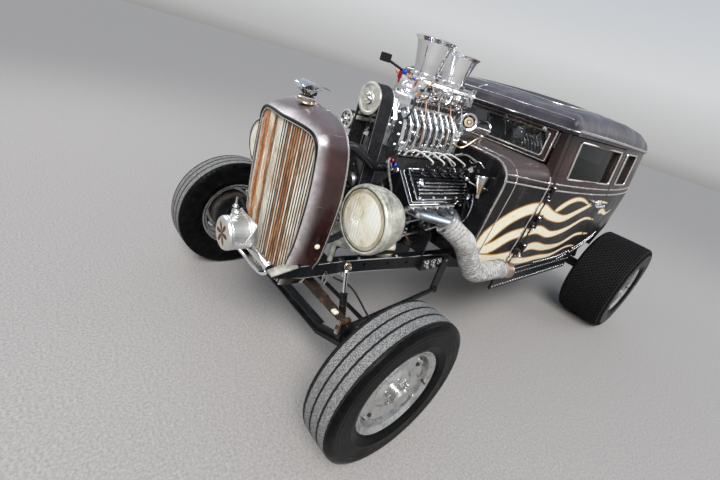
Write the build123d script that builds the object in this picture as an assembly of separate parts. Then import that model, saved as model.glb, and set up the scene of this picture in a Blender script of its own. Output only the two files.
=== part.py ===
"""Street rod sedan: a chopped two-door sedan body on a narrowed frame, with an open blown V8.

Millimetres. +X is the car's left, the car faces -Y, +Z is up. Every piece is drawn with the front
axle above Y = 0, and moved on export so that the origin is the middle of the car's box, on the ground.
"""
from build123d import *
from math import atan2, cos, radians, sin
import os

# Wheels
WHEELBASE = 2670.0
FRONT_TYRE_R, FRONT_TYRE_W, FRONT_WHEEL_X = 350.0, 178.0, 781.5
REAR_TYRE_R, REAR_TYRE_W, REAR_WHEEL_X = 380.0, 366.0, 783.0
RIM_LIP_R, BEAD_R, RIM_INNER_R = 209.5, 193.0, 182.0
FRONT_RIM_W, REAR_RIM_W = 136.0, 324.0
FRONT_DISC_X, REAR_DISC_X = 36.0, 70.0
FIT = 0.3

# Front end
AXLE_DROP = 92.0
AXLE_FLAT_X, AXLE_RISE_X, KINGPIN_X = 330.0, 585.0, 655.0
AXLE_H, AXLE_D, AXLE_WEB, CHANNEL_REACH = 52.0, 46.0, 14.0, 0.916
KINGPIN_R, EAR_GAP = 13.0, 2.0
BOSS_H, BOSS_R = 70.0, 24.0
TIE_ROD_Y, TIE_ROD_Z, TIE_ROD_R, TIE_PIN_R = 155.0, FRONT_TYRE_R, 11.0, 8.0
SPRING_Z, LEAF_T, LEAF_W = FRONT_TYRE_R + 52.0, 8.0, 45.0
SHACKLE_X = 462.0

# Frame
RAIL_W = 46.0
JACK_PAD_Y, JACK_PAD_T = 1425.0, 8.0
CANISTER_R, CANISTER_X, CANISTER_Z = 77.0, -20.0, 625.0
CANISTER_FRONT_Y, CANISTER_REAR_Y = -400.0, -288.0
SPREADER_Y, SPREADER_Z, SPREADER_R = -262.0, 552.0, 19.0

# Grille shell and lamps
SHELL_FRONT_Y, SHELL_EDGE_Y, SHELL_ROLL_Y, SHELL_REAR_Y = -228.0, -190.0, -165.0, -80.0
SHELL_T, SHELL_MID_Z, SHELL_CUT_Y = 12.0, 850.0, -260.0
LAMP_X, LAMP_Y, LAMP_Z, LAMP_R, LAMP_DEPTH = 440.0, -45.0, 910.0, 136.0, 185.0

# Engine
CRANK_Z, ENGINE_FRONT_Y, ENGINE_REAR_Y = 690.0, 320.0, 792.0
BANK_ANGLE = 45.0
DECK_R, HEAD_T, COVER_T = 260.0, 138.0, 54.0
HEAD_IN, HEAD_OUT, PORT_R = -98.0, 76.0, 345.0
BLOWER_Z, BLOWER_H, BLOWER_HALF = 1115.0, 205.0, 140.0
BLOWER_FRONT_Y, BLOWER_REAR_Y = 300.0, 770.0
PULLEY_Y, BELT_W, UPPER_PULLEY_Z, UPPER_PULLEY_R = 245.0, 85.0, 1302.0, 67.0
IDLER_X, IDLER_Z, IDLER_R, CRANK_PULLEY_R = -127.0, 1170.0, 45.0, 90.0
COVER_FRONT_Y = PULLEY_Y + BELT_W / 2 + 9
STACK_YS, STACK_TOP_Z, STACK_RIM_R, STACK_NECK_R = (517.0, 742.0), 1632.0, 103.0, 62.0
INJECTOR_Z, DECK_SHARE, STACK_FALL = BLOWER_Z + BLOWER_H, 0.465, 0.12
STACK_DECK_Z = INJECTOR_Z + DECK_SHARE * (STACK_TOP_Z - INJECTOR_Z)

# Body
COWL_Y, DOOR_FRONT_Y, DOOR_REAR_Y, BODY_REAR_Y = 800.0, 1137.0, 1870.0, 2850.0
SILL_Z, BELT_Z, WINDOW_Z, WINDOW_TOP_Z, EAVES_Z = 600.0, 1100.0, 1185.0, 1385.0, 1425.0
QUARTER_FRONT_Y, QUARTER_REAR_Y = DOOR_REAR_Y + 75.0, 2220.0
DOOR_WINDOW_FRONT_Y, DOOR_WINDOW_REAR_Y = DOOR_FRONT_Y + 108.0, DOOR_REAR_Y - 58.0
DOOR_HANDLE_Y, DOOR_HANDLE_Z = DOOR_REAR_Y - 80.0, 1050.0
WALL, SKIN, GAP, ROOF_T = 50.0, 14.0, 6.0, 26.0
COWL_HALF, COWL_TOP_Z, COWL_CORNER, COWL_CROWN = 490.0, 1210.0, 110.0, 8.0
DOOR_CLEAR = 6.0
HINGE_R, HINGE_OUT = 9.0, 12.0
FLOOR_Z, FLOOR_T = 600.0, 16.0

FRONT_REACH = -CANISTER_FRONT_Y
REAR_REACH = REAR_TYRE_R
AXLE_Y = -(WHEELBASE + REAR_REACH - FRONT_REACH) / 2

os.makedirs("parts", exist_ok=True)


def write(node, *solids):
    """Move the solids of one node into the part's frame and write them."""
    shapes = []
    for piece in solids:
        shapes += list(piece.solids())
    shape = shapes[0] if len(shapes) == 1 else Compound(children=shapes)
    export_step(Pos(0, AXLE_Y, 0) * shape, f"parts/{node}.step")


def box(x, y, z):
    """A block between three pairs of limits."""
    size = [hi - lo for lo, hi in (x, y, z)]
    middle = [(hi + lo) / 2 for lo, hi in (x, y, z)]
    return Pos(*middle) * Box(*size)


def rod(start, end, r, bore=0.0):
    """A round bar, or a tube if it has a bore, from start to end."""
    a, b = Vector(*start), Vector(*end)
    plane = Plane(origin=a, z_dir=b - a)
    bar = Solid.make_cylinder(r, (b - a).length, plane)
    return bar - Solid.make_cylinder(bore, (b - a).length, plane) if bore else bar


def lathe(at, along, profile):
    """Turn a closed outline of (distance along, radius) points about a line through at."""
    along = Vector(*along).normalized()
    side = Vector(0, 0, 1) if abs(along.Z) < 0.9 else Vector(0, 1, 0)
    side = (side - along * side.dot(along)).normalized()
    plane = Plane(origin=Vector(*at), x_dir=along, z_dir=along.cross(side))
    face = plane * make_face(Polyline(*profile, close=True))
    return revolve(face, Axis(at, along))


def plate(plane, outline, depth):
    """A closed outline of points or edges on a plane, thickened along the plane's normal."""
    edges = Polyline(*outline, close=True) if isinstance(outline[0], tuple) else outline
    return extrude(plane * make_face(edges), depth)


def both(piece):
    """The piece and its mirror image on the car's other side."""
    return [piece, mirror(piece, Plane.YZ)]


def hose(points, r, radii):
    """A round tube along straight runs joined by tangent arcs."""
    path = FilletPolyline(*points, radius=radii)
    return sweep(Plane(origin=path @ 0, z_dir=path % 0) * Circle(r), path)


XZ_BACK = Plane(origin=(0, 0, 0), x_dir=(-1, 0, 0), z_dir=(0, 1, 0))


def across(outline, y0, y1):
    """An outline of (x, z) points drawn across the car, thickened from y0 to y1."""
    flipped = [(-x, z) for x, z in outline]
    return Pos(0, y0, 0) * extrude(XZ_BACK * make_face(Polyline(*flipped, close=True)), y1 - y0)


# Wheels by place: y, x of the middle, tyre radius and width, rim width, disc face, hub's outer end
WHEELS = [
    ("front", 0.0, FRONT_WHEEL_X, FRONT_TYRE_R, FRONT_TYRE_W, FRONT_RIM_W, FRONT_DISC_X, 92.0),
    ("rear", WHEELBASE, REAR_WHEEL_X, REAR_TYRE_R, REAR_TYRE_W, REAR_RIM_W, REAR_DISC_X, 120.0),
]


def mirrored_outline(half):
    """Close a half outline through its mirror image."""
    return half + [(-x, z) for x, z in half[::-1]]


def wheel(x, tyre_r, tyre_w, rim_w, disc_x, hub_out):
    """Tyre, and rim with brake drum, about an X axis at x; positive is outboard on the left."""
    w = tyre_w / 2
    shoulder = tyre_r - 0.05 * tyre_w - 6
    bead = rim_w / 2 - 12 - FIT
    half = [(w * 0.5, tyre_r), (w * 0.88, shoulder + 4), (w, shoulder - 24), (w, BEAD_R + 66),
            (w * 0.93, BEAD_R + 40), (bead, RIM_LIP_R + 2), (bead, BEAD_R)]
    outline = half + [(-a, r) for a, r in half[::-1]]
    tyre = lathe((0, 0, 0), (1, 0, 0), outline)
    half = rim_w / 2
    rim = lathe((0, 0, 0), (1, 0, 0), [
        (-half, RIM_LIP_R), (-half + 8, RIM_LIP_R), (-half + 11.5, BEAD_R - FIT), (half - 11.5, BEAD_R - FIT),
        (half - 8, RIM_LIP_R), (half, RIM_LIP_R), (half, RIM_LIP_R - 8), (half - 14, RIM_INNER_R),
        (-half + 14, RIM_INNER_R), (-half, RIM_LIP_R - 8)])
    disc = lathe((0, 0, 0), (1, 0, 0), [
        (disc_x - 5, 0), (hub_out, 0), (hub_out, 30), (hub_out - 8, 38), (disc_x + 18, 40),
        (disc_x + 14, 78), (disc_x + 2, 96), (disc_x + 8, 150), (disc_x - 8, RIM_INNER_R + 2),
        (disc_x - 16, RIM_INNER_R + 2), (disc_x, 148), (disc_x - 6, 100), (disc_x - 5, 70)])
    vents = [Rot(90 * i + 45, 0, 0) * Pos(disc_x, 0, 158) * Rot(0, 90, 0) * extrude(
        SlotOverall(46, 18, rotation=90), 30, both=True) for i in range(4)]
    rim = rim + (disc - vents)
    return Pos(x, 0, 0) * tyre, Pos(x, 0, 0) * rim


def wheels():
    """Four tyres and rims; the inner hub runs over a stub left free for the spindle."""
    for side, name in ((1, "left"), (-1, "right")):
        for place, y, x, tyre_r, tyre_w, rim_w, disc_x, hub_out in WHEELS:
            tyre, rim = wheel(x, tyre_r, tyre_w, rim_w, disc_x, hub_out)
            drum_in = 724.0 if place == "front" else 640.0
            disc_back = x + disc_x - 4
            drum = lathe((0, 0, 0), (1, 0, 0), [
                (drum_in, 18), (disc_back + 2, 18), (disc_back + 2, 124), (drum_in, 130),
                (drum_in, 120), (disc_back - 12, 114), (disc_back - 12, 40), (drum_in, 40)])
            rim = rim + drum
            lift = Pos(0, y, tyre_r)
            for part_name, piece in (("tyre", tyre), ("rim", rim)):
                placed = lift * piece
                write(f"{name}_{place}_{part_name}", placed if side > 0 else mirror(placed, Plane.YZ))


def axle_line(offset):
    """The lower or upper edge of the dropped axle, right to left, as (x, z) points."""
    low = FRONT_TYRE_R - AXLE_DROP + offset
    high = FRONT_TYRE_R + offset
    points = [(-KINGPIN_X, high), (-AXLE_RISE_X, high), (-AXLE_FLAT_X, low),
              (AXLE_FLAT_X, low), (AXLE_RISE_X, high), (KINGPIN_X, high)]
    return points


def front_axle():
    """Dropped I-beam with kingpin bosses and spring perches."""
    h = AXLE_H / 2
    band = axle_line(-h) + axle_line(h)[::-1]
    beam = across(band, -AXLE_D / 2, AXLE_D / 2)
    channel = [(x * CHANNEL_REACH, z) for x, z in axle_line(9 - h) + axle_line(h - 9)[::-1]]
    for y0, y1 in ((-AXLE_D, -AXLE_WEB / 2), (AXLE_WEB / 2, AXLE_D)):
        beam = beam - across(channel, y0, y1)
    z = FRONT_TYRE_R
    for side in (-1, 1):
        boss = rod((side * KINGPIN_X, 0, z - BOSS_H / 2), (side * KINGPIN_X, 0, z + BOSS_H / 2), BOSS_R)
        beam = beam + boss
        perch_z = z - AXLE_DROP * (AXLE_RISE_X - SHACKLE_X) / (AXLE_RISE_X - AXLE_FLAT_X) + h
        perch = box((SHACKLE_X - 22, SHACKLE_X + 22), (FIT - LEAF_W / 2, LEAF_W / 2 - FIT),
                    (perch_z - 14, SPRING_Z - 32))
        perch = perch - rod((SHACKLE_X, -40, SPRING_Z - 48), (SHACKLE_X, 40, SPRING_Z - 48), 8 + FIT)
        beam = beam + (perch if side > 0 else mirror(perch, Plane.YZ))
    for side in (-1, 1):
        x = side * KINGPIN_X
        beam = beam - rod((x, 0, z - BOSS_H), (x, 0, z + BOSS_H), KINGPIN_R + 0.06)
    write("front_axle", beam)


def front_spring():
    """Transverse leaf pack: the long leaf lowest, shorter ones above it, a centre clamp and shackles."""
    pack = []
    for i, half in enumerate((SHACKLE_X, 380, 300, 225, 155)):
        z = SPRING_Z + i * LEAF_T
        pack.append(box((-half, half), (-LEAF_W / 2, LEAF_W / 2), (z, z + LEAF_T)))
    spring = pack[0]
    for leaf in pack[1:]:
        spring = spring + leaf
    top = SPRING_Z + 5 * LEAF_T
    spring = spring + box((-60, 60), (-LEAF_W / 2 - 10, LEAF_W / 2 + 10), (SPRING_Z - 10, top + 6))
    for side in (-1, 1):
        x = side * SHACKLE_X
        spring = spring + rod((x, -LEAF_W / 2, SPRING_Z + 4), (x, LEAF_W / 2, SPRING_Z + 4), 13)
        for link_y in (LEAF_W / 2, -LEAF_W / 2 - 7):
            link = box((x - 11, x + 11), (link_y, link_y + 7), (SPRING_Z - 60, SPRING_Z + 12))
            spring = spring + link
        spring = spring + rod((x, -LEAF_W / 2 - 1, SPRING_Z - 48), (x, LEAF_W / 2 + 1, SPRING_Z - 48), 8)
    write("front_spring", spring)


def knuckles():
    """Steering knuckles: a yoke over the axle boss, kingpin, spindle, backing plate and steering arm."""
    z = FRONT_TYRE_R
    ear_low, ear_high = z - BOSS_H / 2 - EAR_GAP, z + BOSS_H / 2 + EAR_GAP
    x = KINGPIN_X
    yoke = rod((x, 0, ear_high), (x, 0, ear_high + 18), BOSS_R)
    yoke = yoke + rod((x, 0, ear_low - 18), (x, 0, ear_low), BOSS_R)
    yoke = yoke + rod((x, 0, ear_low - 22), (x, 0, ear_high + 22), KINGPIN_R)
    plate_x = 706.0
    for z0, z1 in ((ear_low - 18, ear_low), (ear_high, ear_high + 18)):
        yoke = yoke + box((x, plate_x), (-BOSS_R, BOSS_R), (z0, z1))
    yoke = yoke + box((x + BOSS_R + 8, plate_x), (-BOSS_R, BOSS_R), (ear_low - 18, ear_high + 18))
    yoke = yoke + lathe((plate_x, 0, z), (1, 0, 0), [
        (-4, 0), (-4, 126), (8, 126), (8, 30), (16, 30), (16, 17.96), (100, 17.96), (100, 0)])
    arm_z = TIE_ROD_Z
    low = ear_low - 14
    arm = plate(Plane.XY.offset(low - 4), [
        (x - 18, 14), (x + 22, 14), (x + 18, TIE_ROD_Y), (x, TIE_ROD_Y + 18), (x - 18, TIE_ROD_Y)], 14)
    yoke = yoke + arm
    yoke = yoke + rod((x, TIE_ROD_Y, low - 4), (x, TIE_ROD_Y, arm_z - TIE_ROD_R - 6), TIE_PIN_R)
    write("left_knuckle", yoke)
    write("right_knuckle", mirror(yoke, Plane.YZ))


def tie_rod():
    """A bar between the steering arms with an eye over each arm's pin."""
    bar = rod((-KINGPIN_X, TIE_ROD_Y, TIE_ROD_Z), (KINGPIN_X, TIE_ROD_Y, TIE_ROD_Z), TIE_ROD_R)
    for x in (KINGPIN_X, -KINGPIN_X):
        bar = bar + rod((x, TIE_ROD_Y, TIE_ROD_Z - 24), (x, TIE_ROD_Y, TIE_ROD_Z + 14), 20)
        bar = bar - rod((x, TIE_ROD_Y, TIE_ROD_Z - 30), (x, TIE_ROD_Y, TIE_ROD_Z - 12), TIE_PIN_R + 0.06)
    write("tie_rod", bar)


# Frame rail stations: y, outer half-width, underside, top
RAIL_STATIONS = [
    (-275.0, 238.0, 536.0, 548.0),
    (-155.0, 250.0, 521.0, 586.0),
    (100.0, 264.0, 520.0, 590.0),
    (460.0, 312.0, 520.0, 594.0),
    (800.0, 345.0, 505.0, 598.0),
    (1150.0, 390.0, 470.0, 598.0),
    (2150.0, 430.0, 470.0, 598.0),
    (2420.0, 430.0, 500.0, 588.0),
    (2800.0, 430.0, 500.0, 588.0),
]


def rail_at(y, column):
    """Outer half-width (1), underside (2) or top (3) of the frame rail at y."""
    for low, high in zip(RAIL_STATIONS, RAIL_STATIONS[1:]):
        if low[0] <= y <= high[0]:
            return low[column] + (high[column] - low[column]) * (y - low[0]) / (high[0] - low[0])
    return RAIL_STATIONS[-1][column]


def frame():
    """Two rails lofted through the stations, and what ties them together."""
    sections = []
    for y, x, z0, z1 in RAIL_STATIONS:
        plane = Plane(origin=(0, y, 0), x_dir=(-1, 0, 0), z_dir=(0, 1, 0))
        outline = Polyline((-x, z0), (-x + RAIL_W, z0), (-x + RAIL_W, z1), (-x, z1), close=True)
        sections.append(plane * make_face(outline))
    rail = loft(sections, ruled=True)
    plate_x = rail_at(700, 1)
    rail = rail + box((plate_x - 20, plate_x + 14), (600, 860), (508, 580))
    pad_x, pad_low = rail_at(JACK_PAD_Y, 1) - RAIL_W / 2, rail_at(JACK_PAD_Y, 2)
    rail = rail + box((pad_x - 25, pad_x + 25), (JACK_PAD_Y - 30, JACK_PAD_Y + 30),
                      (pad_low - JACK_PAD_T, pad_low + 4))
    write("frame_rails", *both(rail))

    def member(y, depth, z0, z1, drop=0.0):
        half = rail_at(y - depth / 2, 1) - RAIL_W - FIT
        bar = box((-half, half), (y - depth / 2, y + depth / 2), (z0, z1))
        return bar + box((-70, 70), (y - depth / 2, y + depth / 2), (z0 - drop, z0)) if drop else bar

    top = SPRING_Z + 5 * LEAF_T + 6
    members = [member(0, 70, 530, 586, 530 - top - FIT),
               member(1180, 80, 480, 545), member(2250, 70, 505, 585), member(2775, 40, 505, 585)]
    nose = RAIL_STATIONS[0][1] - RAIL_W - FIT
    spreader = rod((-nose, SPREADER_Y, SPREADER_Z), (nose, SPREADER_Y, SPREADER_Z), SPREADER_R)
    reach = nose - 8
    lower = hose([(-reach, SPREADER_Y, 545), (-150, -284, 508), (150, -284, 508), (reach, SPREADER_Y, 545)],
                 7, [50, 50])
    write("crossmembers", *members, spreader + lower)


def radius_rods():
    """Split radius rods from the axle perches back to brackets under the frame plates."""
    front = (SHACKLE_X + 28, AXLE_D / 2 + 6, FRONT_TYRE_R + 48)
    rear = (362, 800, FRONT_TYRE_R + 2)
    rod_piece = rod(front, rear, 14) + Pos(*rear) * Sphere(22)
    rod_piece = rod_piece + box((front[0] - 12, front[0] + 12), (AXLE_D / 2 + FIT, AXLE_D / 2 + 22),
                                (front[2] - 98, front[2] + 10))
    plate_x = rail_at(700, 1) + 14 + FIT
    bracket = box((plate_x, plate_x + 12), (770, 835), (rear[2] - 12, 572))
    write("radius_rods", *both(rod_piece + bracket))


def shocks():
    """Tubular dampers between frame and axle, two in front and two at the rear."""
    pieces = []
    for a, b in (((316, 58, 604), (424, 40, FRONT_TYRE_R - 50)),
                 ((468, WHEELBASE - 110, 640), (480, WHEELBASE - 6, REAR_TYRE_R + 48))):
        a, b = Vector(*a), Vector(*b)
        way = (b - a).normalized()
        length = (b - a).length
        damper = lathe(a, way, [(0, 0), (0, 9), (0.42 * length, 9), (0.42 * length, 17), (length - 14, 17),
                                (length - 14, 9), (length, 9), (length, 0)])
        face = rail_at(a.Y + 10, 1) + FIT
        bracket_low = rail_at(a.Y, 3) - 45
        damper = damper + box((face, a.X + 4), (a.Y - 10, a.Y + 10), (bracket_low, a.Z + 10))
        pieces += both(damper)
    write("shock_absorbers", *pieces)


def rear_axle():
    """Axle housing with a centre case, flanges towards the brake drums and a torque tube forward."""
    z, y = REAR_TYRE_R, WHEELBASE
    half = 600.0
    arm = [(60, 140), (105, 120), (200, 40), (half - 10, 38), (half - 10, 60), (half, 60), (half, 0)]
    profile = [(-a, r) for a, r in arm[::-1]] + arm
    housing = lathe((0, y, z), (1, 0, 0), profile)
    for side in (-1, 1):
        housing = housing + rod((side * half, y, z), (side * 700, y, z), 17.96)
        housing = housing + rod((side * (half - 2), y, z), (side * 622, y, z), 126)
    nose, way = pinion_nose()
    housing = housing + lathe(nose, way, [(-150, 0), (-150, 100), (-80, 84), (-40, 50), (0, 50), (0, 0)])
    write("rear_axle", housing)


GEARBOX_AT, GEARBOX_WAY = (0.0, ENGINE_REAR_Y, CRANK_Z), (0.0, 1.0, -0.13)
GEARBOX_PROFILE = [(-40, 178), (40, 168), (150, 112), (360, 92), (520, 70), (600, 55)]


def gearbox_form(grow):
    """The gearbox's turned form, tilted down to the rear and cut off at the block's face."""
    profile = [(a, r + grow) for a, r in GEARBOX_PROFILE]
    first, last = profile[0][0], profile[-1][0]
    form = lathe(GEARBOX_AT, GEARBOX_WAY, [(first, 0)] + profile + [(last, 0)])
    return form - box((-400, 400), (ENGINE_REAR_Y - 200, ENGINE_REAR_Y + FIT), (400, 1000))


def pinion_nose():
    """Where the axle's pinion nose ends, and the way it points."""
    way = Vector(0, -1, 0.19).normalized()
    return Vector(0, WHEELBASE - 100, REAR_TYRE_R) + way * 110, way


def bank(side, r0, r1, v0, v1, y0, y1):
    """A block square to a cylinder bank: r along the bank, v across it (positive is outboard)."""
    a = radians(BANK_ANGLE)
    corners = []
    for r, v in ((r0, v0), (r0, v1), (r1, v1), (r1, v0)):
        corners.append((side * (r * sin(a) + v * cos(a)), CRANK_Z + r * cos(a) - v * sin(a)))
    return across(corners, y0, y1)


def engine():
    """V8 block and sump, heads, finned covers, blower and its drive, injector and stacks."""
    y0, y1 = ENGINE_FRONT_Y, ENGINE_REAR_Y
    z = CRANK_Z
    case = across(mirrored_outline([(-120, z - 70), (-150, z), (-190, z + 140)]), y0, y1)
    block = case
    for side in (-1, 1):
        block = block + bank(side, 90, DECK_R, HEAD_IN + 6, HEAD_OUT - 6, y0, y1)
    block = block + box((-110, 110), (y0 + 30, y1), (z - 130, z - 70))
    block = block + box((-105, 105), (y0 + 210, y1 - 10), (430, z - 130))
    cover = across(mirrored_outline([(-95, z - 100), (-130, z + 10), (-70, z + 210)]), COVER_FRONT_Y, y0)
    block = block + cover + rod((0, COVER_FRONT_Y, z), (0, PULLEY_Y, z), 30)
    block = block + lathe((0, PULLEY_Y - BELT_W / 2 - 4, z), (0, 1, 0), [
        (0, 0), (0, CRANK_PULLEY_R + 5), (4, CRANK_PULLEY_R + 5), (4, CRANK_PULLEY_R),
        (BELT_W + 4, CRANK_PULLEY_R), (BELT_W + 4, CRANK_PULLEY_R + 5), (BELT_W + 8, CRANK_PULLEY_R + 5),
        (BELT_W + 8, 0)])
    mount_y = 590
    block = block + box((-330, 330), (mount_y, mount_y + 12), (rail_at(mount_y + 12, 3) + FIT, z + 40))
    write("engine_block", block)
    gearbox = gearbox_form(0)
    nose, way = pinion_nose()
    tail = Vector(*GEARBOX_AT) + Vector(*GEARBOX_WAY).normalized() * (GEARBOX_PROFILE[-1][0] - 20)
    shaft = lathe(nose + way * FIT, tail - nose, [(0, 0), (0, 48), (30, 48), (50, 38), (500, 38), (500, 0)])
    shaft = shaft + rod(nose + way * 100, tail, 36)
    write("gearbox", gearbox + shaft)
    heads, covers = [], []
    for side in (-1, 1):
        top = DECK_R + HEAD_T
        heads.append(bank(side, DECK_R, top, HEAD_IN, HEAD_OUT, y0 + 4, y1 - 4))
        cover_piece = bank(side, top, top + COVER_T - 14, HEAD_IN + 8, HEAD_OUT - 10, y0 + 14, y1 - 14)
        for k in range(7):
            v = HEAD_IN + 26 + k * 18
            fin = bank(side, top + COVER_T - 16, top + COVER_T, v, v + 8, y0 + 30, y1 - 30)
            cover_piece = cover_piece + fin
        covers.append(cover_piece)
    write("cylinder_heads", *heads)
    write("valve_covers", *covers)
    valley = across(mirrored_outline([
        (-40, z + 120), (-150, z + 210), (-150, BLOWER_Z - 30), (-BLOWER_HALF, BLOWER_Z - 18),
        (-BLOWER_HALF, BLOWER_Z)]), y0 + 20, y1 - 20)
    for side in (-1, 1):
        past_cover = DECK_R + HEAD_T + COVER_T + 60
        valley = valley - bank(side, 60, past_cover, HEAD_IN - FIT, 150, y0 - 10, y1 + 10)
    valley = valley - box((-190, 190), (y0 - 10, y1 + 10), (z, z + 140 + FIT))
    write("intake_manifold", valley)


def blower():
    """Ribbed roots blower case with its nose drive, toothed belt and two pulleys."""
    w = BLOWER_HALF
    z0, z1 = BLOWER_Z, BLOWER_Z + BLOWER_H
    outline = mirrored_outline([(-w, z0 + FIT), (-w - 8, z0 + 60), (-w, z0 + 130), (-88, z1 - 22), (-88, z1)])
    case = across(outline, BLOWER_FRONT_Y + 20, BLOWER_REAR_Y)
    grown = [(x * 1.06, z if z < z0 + 2 else min(z + 7, z1)) for x, z in outline]
    for i in range(8):
        y = BLOWER_FRONT_Y + 60 + i * 50
        case = case + across(grown, y, y + 9)
    case = case + across(grown, BLOWER_FRONT_Y + 8, BLOWER_FRONT_Y + 30)
    case = case + across(grown, BLOWER_REAR_Y - 18, BLOWER_REAR_Y + 6)
    case = case + rod((0, PULLEY_Y + BELT_W / 2, UPPER_PULLEY_Z),
                      (0, BLOWER_FRONT_Y + 20, UPPER_PULLEY_Z), 42)
    nose = mirrored_outline([(-70, z0 + 60), (-92, z0 + 130), (-52, z1 + 12)])
    case = case + across(nose, COVER_FRONT_Y, BLOWER_FRONT_Y + 22)
    case = case + lathe((0, PULLEY_Y - BELT_W / 2 - 4, UPPER_PULLEY_Z), (0, 1, 0), [
        (0, 0), (0, UPPER_PULLEY_R + 5), (4, UPPER_PULLEY_R + 5), (4, UPPER_PULLEY_R - 4),
        (BELT_W + 4, UPPER_PULLEY_R - 4), (BELT_W + 4, UPPER_PULLEY_R + 5), (BELT_W + 8, UPPER_PULLEY_R + 5),
        (BELT_W + 8, 0)])
    idler = rod((IDLER_X, PULLEY_Y - BELT_W / 2, IDLER_Z), (IDLER_X, PULLEY_Y + BELT_W / 2, IDLER_Z), IDLER_R)
    arm = rod((IDLER_X, PULLEY_Y + BELT_W / 2 - 1, IDLER_Z), (IDLER_X, BLOWER_FRONT_Y + 10, IDLER_Z), 16)
    case = case + idler + arm
    write("blower_case", case)

    def belt_outline(grow):
        """Two tangent runs and two arcs round the pulleys, seen from behind."""
        rise = UPPER_PULLEY_Z - CRANK_Z
        top_r, low_r = UPPER_PULLEY_R - 4 + FIT + grow, CRANK_PULLEY_R + FIT + grow
        tilt = atan2(low_r - top_r, rise)
        tx, tz = cos(tilt), sin(tilt)
        a, b = (top_r * tx, UPPER_PULLEY_Z + top_r * tz), (low_r * tx, CRANK_Z + low_r * tz)
        c, d = (-b[0], b[1]), (-a[0], a[1])
        loop = [Line(a, b), ThreePointArc(b, (0, CRANK_Z - low_r), c), Line(c, d),
                ThreePointArc(d, (0, UPPER_PULLEY_Z + top_r), a)]
        return make_face(loop)

    ring = XZ_BACK * (belt_outline(9.0) - belt_outline(0.0))
    belt = Pos(0, PULLEY_Y - BELT_W / 2 + 1, 0) * extrude(ring, BELT_W - 2)
    write("drive_belt", belt)
    foot, deck_z = INJECTOR_Z, STACK_DECK_Z
    body = box((-86, 86), (BLOWER_FRONT_Y + 80, BLOWER_REAR_Y - 20), (foot + FIT, foot + 30))
    body = body + box((-78, 78), (BLOWER_FRONT_Y + 120, STACK_YS[1] + 100), (foot + 30, deck_z - 14))
    for y in STACK_YS:
        body = body + rod((0, y, deck_z - 20), (0, y, deck_z), STACK_NECK_R + 14)
        body = body - rod((0, y, foot + 40), (0, y, deck_z + 1), STACK_NECK_R - 4)
    write("injector_body", body)
    stacks = []
    neck, rim = STACK_NECK_R, STACK_RIM_R
    for y, fall in zip(STACK_YS, (0.0, STACK_FALL)):
        h = (STACK_TOP_Z - deck_z) * (1 - fall)
        stacks.append(lathe((0, y, deck_z), (0, 0, 1), [
            (0, neck - 4), (0, neck), (0.4 * h, neck + 9), (0.85 * h, rim - 15), (h - 6, rim),
            (h, rim), (h, rim - 4), (0.85 * h, rim - 19), (0.4 * h, neck + 5)]))
    write("velocity_stacks", *stacks)


TANK_REAR_Y = SHELL_REAR_Y + 50
TIP_START, TIP_END, TIP_R, TIP_WALL = (589.0, 985.0, 618.5), (604.0, 1085.0, 601.0), 43.0, 80.0


# Header pipes: port y, and where the pipe runs into the collector's head, as x, y, z
PORTS = [
    (385, 510, 470, 894),
    (480, 498, 478, 852),
    (575, 524, 520, 858),
    (670, 540, 560, 820),
]


def plumbing():
    """Top radiator hose, and on each side four header pipes, a wrapped collector and its tip."""
    front = ENGINE_FRONT_Y + 20
    top_hose = hose([(128, TANK_REAR_Y + FIT, 1106), (128, 70, 1106), (122, 230, 1020),
                     (122, front - FIT, 1020)], 22, [70, 80])
    write("radiator_hose", top_hose)
    a = radians(BANK_ANGLE)
    port_v = HEAD_OUT + 8
    px, pz = PORT_R * sin(a) + port_v * cos(a), CRANK_Z + PORT_R * cos(a) - port_v * sin(a)
    collector = hose([(478, 452, 884), (560, 540, 826), (584, 690, 640), (590, 1000, 618)], 50, [60, 70])
    start, end = Vector(*TIP_START), Vector(*TIP_END)
    way = (end - start).normalized()
    collar = (end - start).length - TIP_WALL
    pipe = collector + rod(start, end, TIP_R) + rod(start, start + way * collar, TIP_R + 12)
    for y, x1, y1, z1 in PORTS:
        run = hose([(px, y, pz), (px + 60, y, pz), (x1, y1, z1)], 20, [32])
        flange = bank(1, PORT_R - 34, PORT_R + 34, HEAD_OUT, HEAD_OUT + 14, y - 36, y + 36)
        pipe = pipe + run + flange
    head_form = bank(1, 100, DECK_R + HEAD_T + COVER_T, HEAD_IN, HEAD_OUT + FIT,
                     ENGINE_FRONT_Y, ENGINE_REAR_Y)
    pipe = pipe - head_form
    pipe = pipe - rod(start + way * 30, end + way * 5, TIP_R - 5)
    write("exhaust_headers", *both(pipe))


# Half outlines of the grille shell from foot to crown: x and z at the front edge, x and z at the rear edge
SHELL_OUTLINE = [
    (190.0, 456.0, 196.0, 452.0),
    (214.0, 592.0, 262.0, 592.0),
    (236.0, 690.0, 287.0, 660.0),
    (250.0, 860.0, 313.0, 875.0),
    (250.0, 990.0, 310.0, 998.0),
    (240.0, 1092.0, 291.0, 1096.0),
    (222.0, 1138.0, 267.0, 1148.0),
    (186.0, 1162.0, 218.0, 1199.0),
    (110.0, 1170.0, 137.0, 1226.0),
    (1.0, 1172.0, 1.0, 1234.0),
]
SHELL_ROLL = 0.62


def shell_outline(share, inset):
    """Closed outline of the shell, share of the way from front edge to rear edge, inset all round."""
    half = []
    for x0, z0, x1, z1 in SHELL_OUTLINE:
        x, z = x0 + (x1 - x0) * share, z0 + (z1 - z0) * share
        half.append((x * (1 - inset / 300), SHELL_MID_Z + (z - SHELL_MID_Z) * (1 - inset / 370)))
    return mirrored_outline(half)


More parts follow.
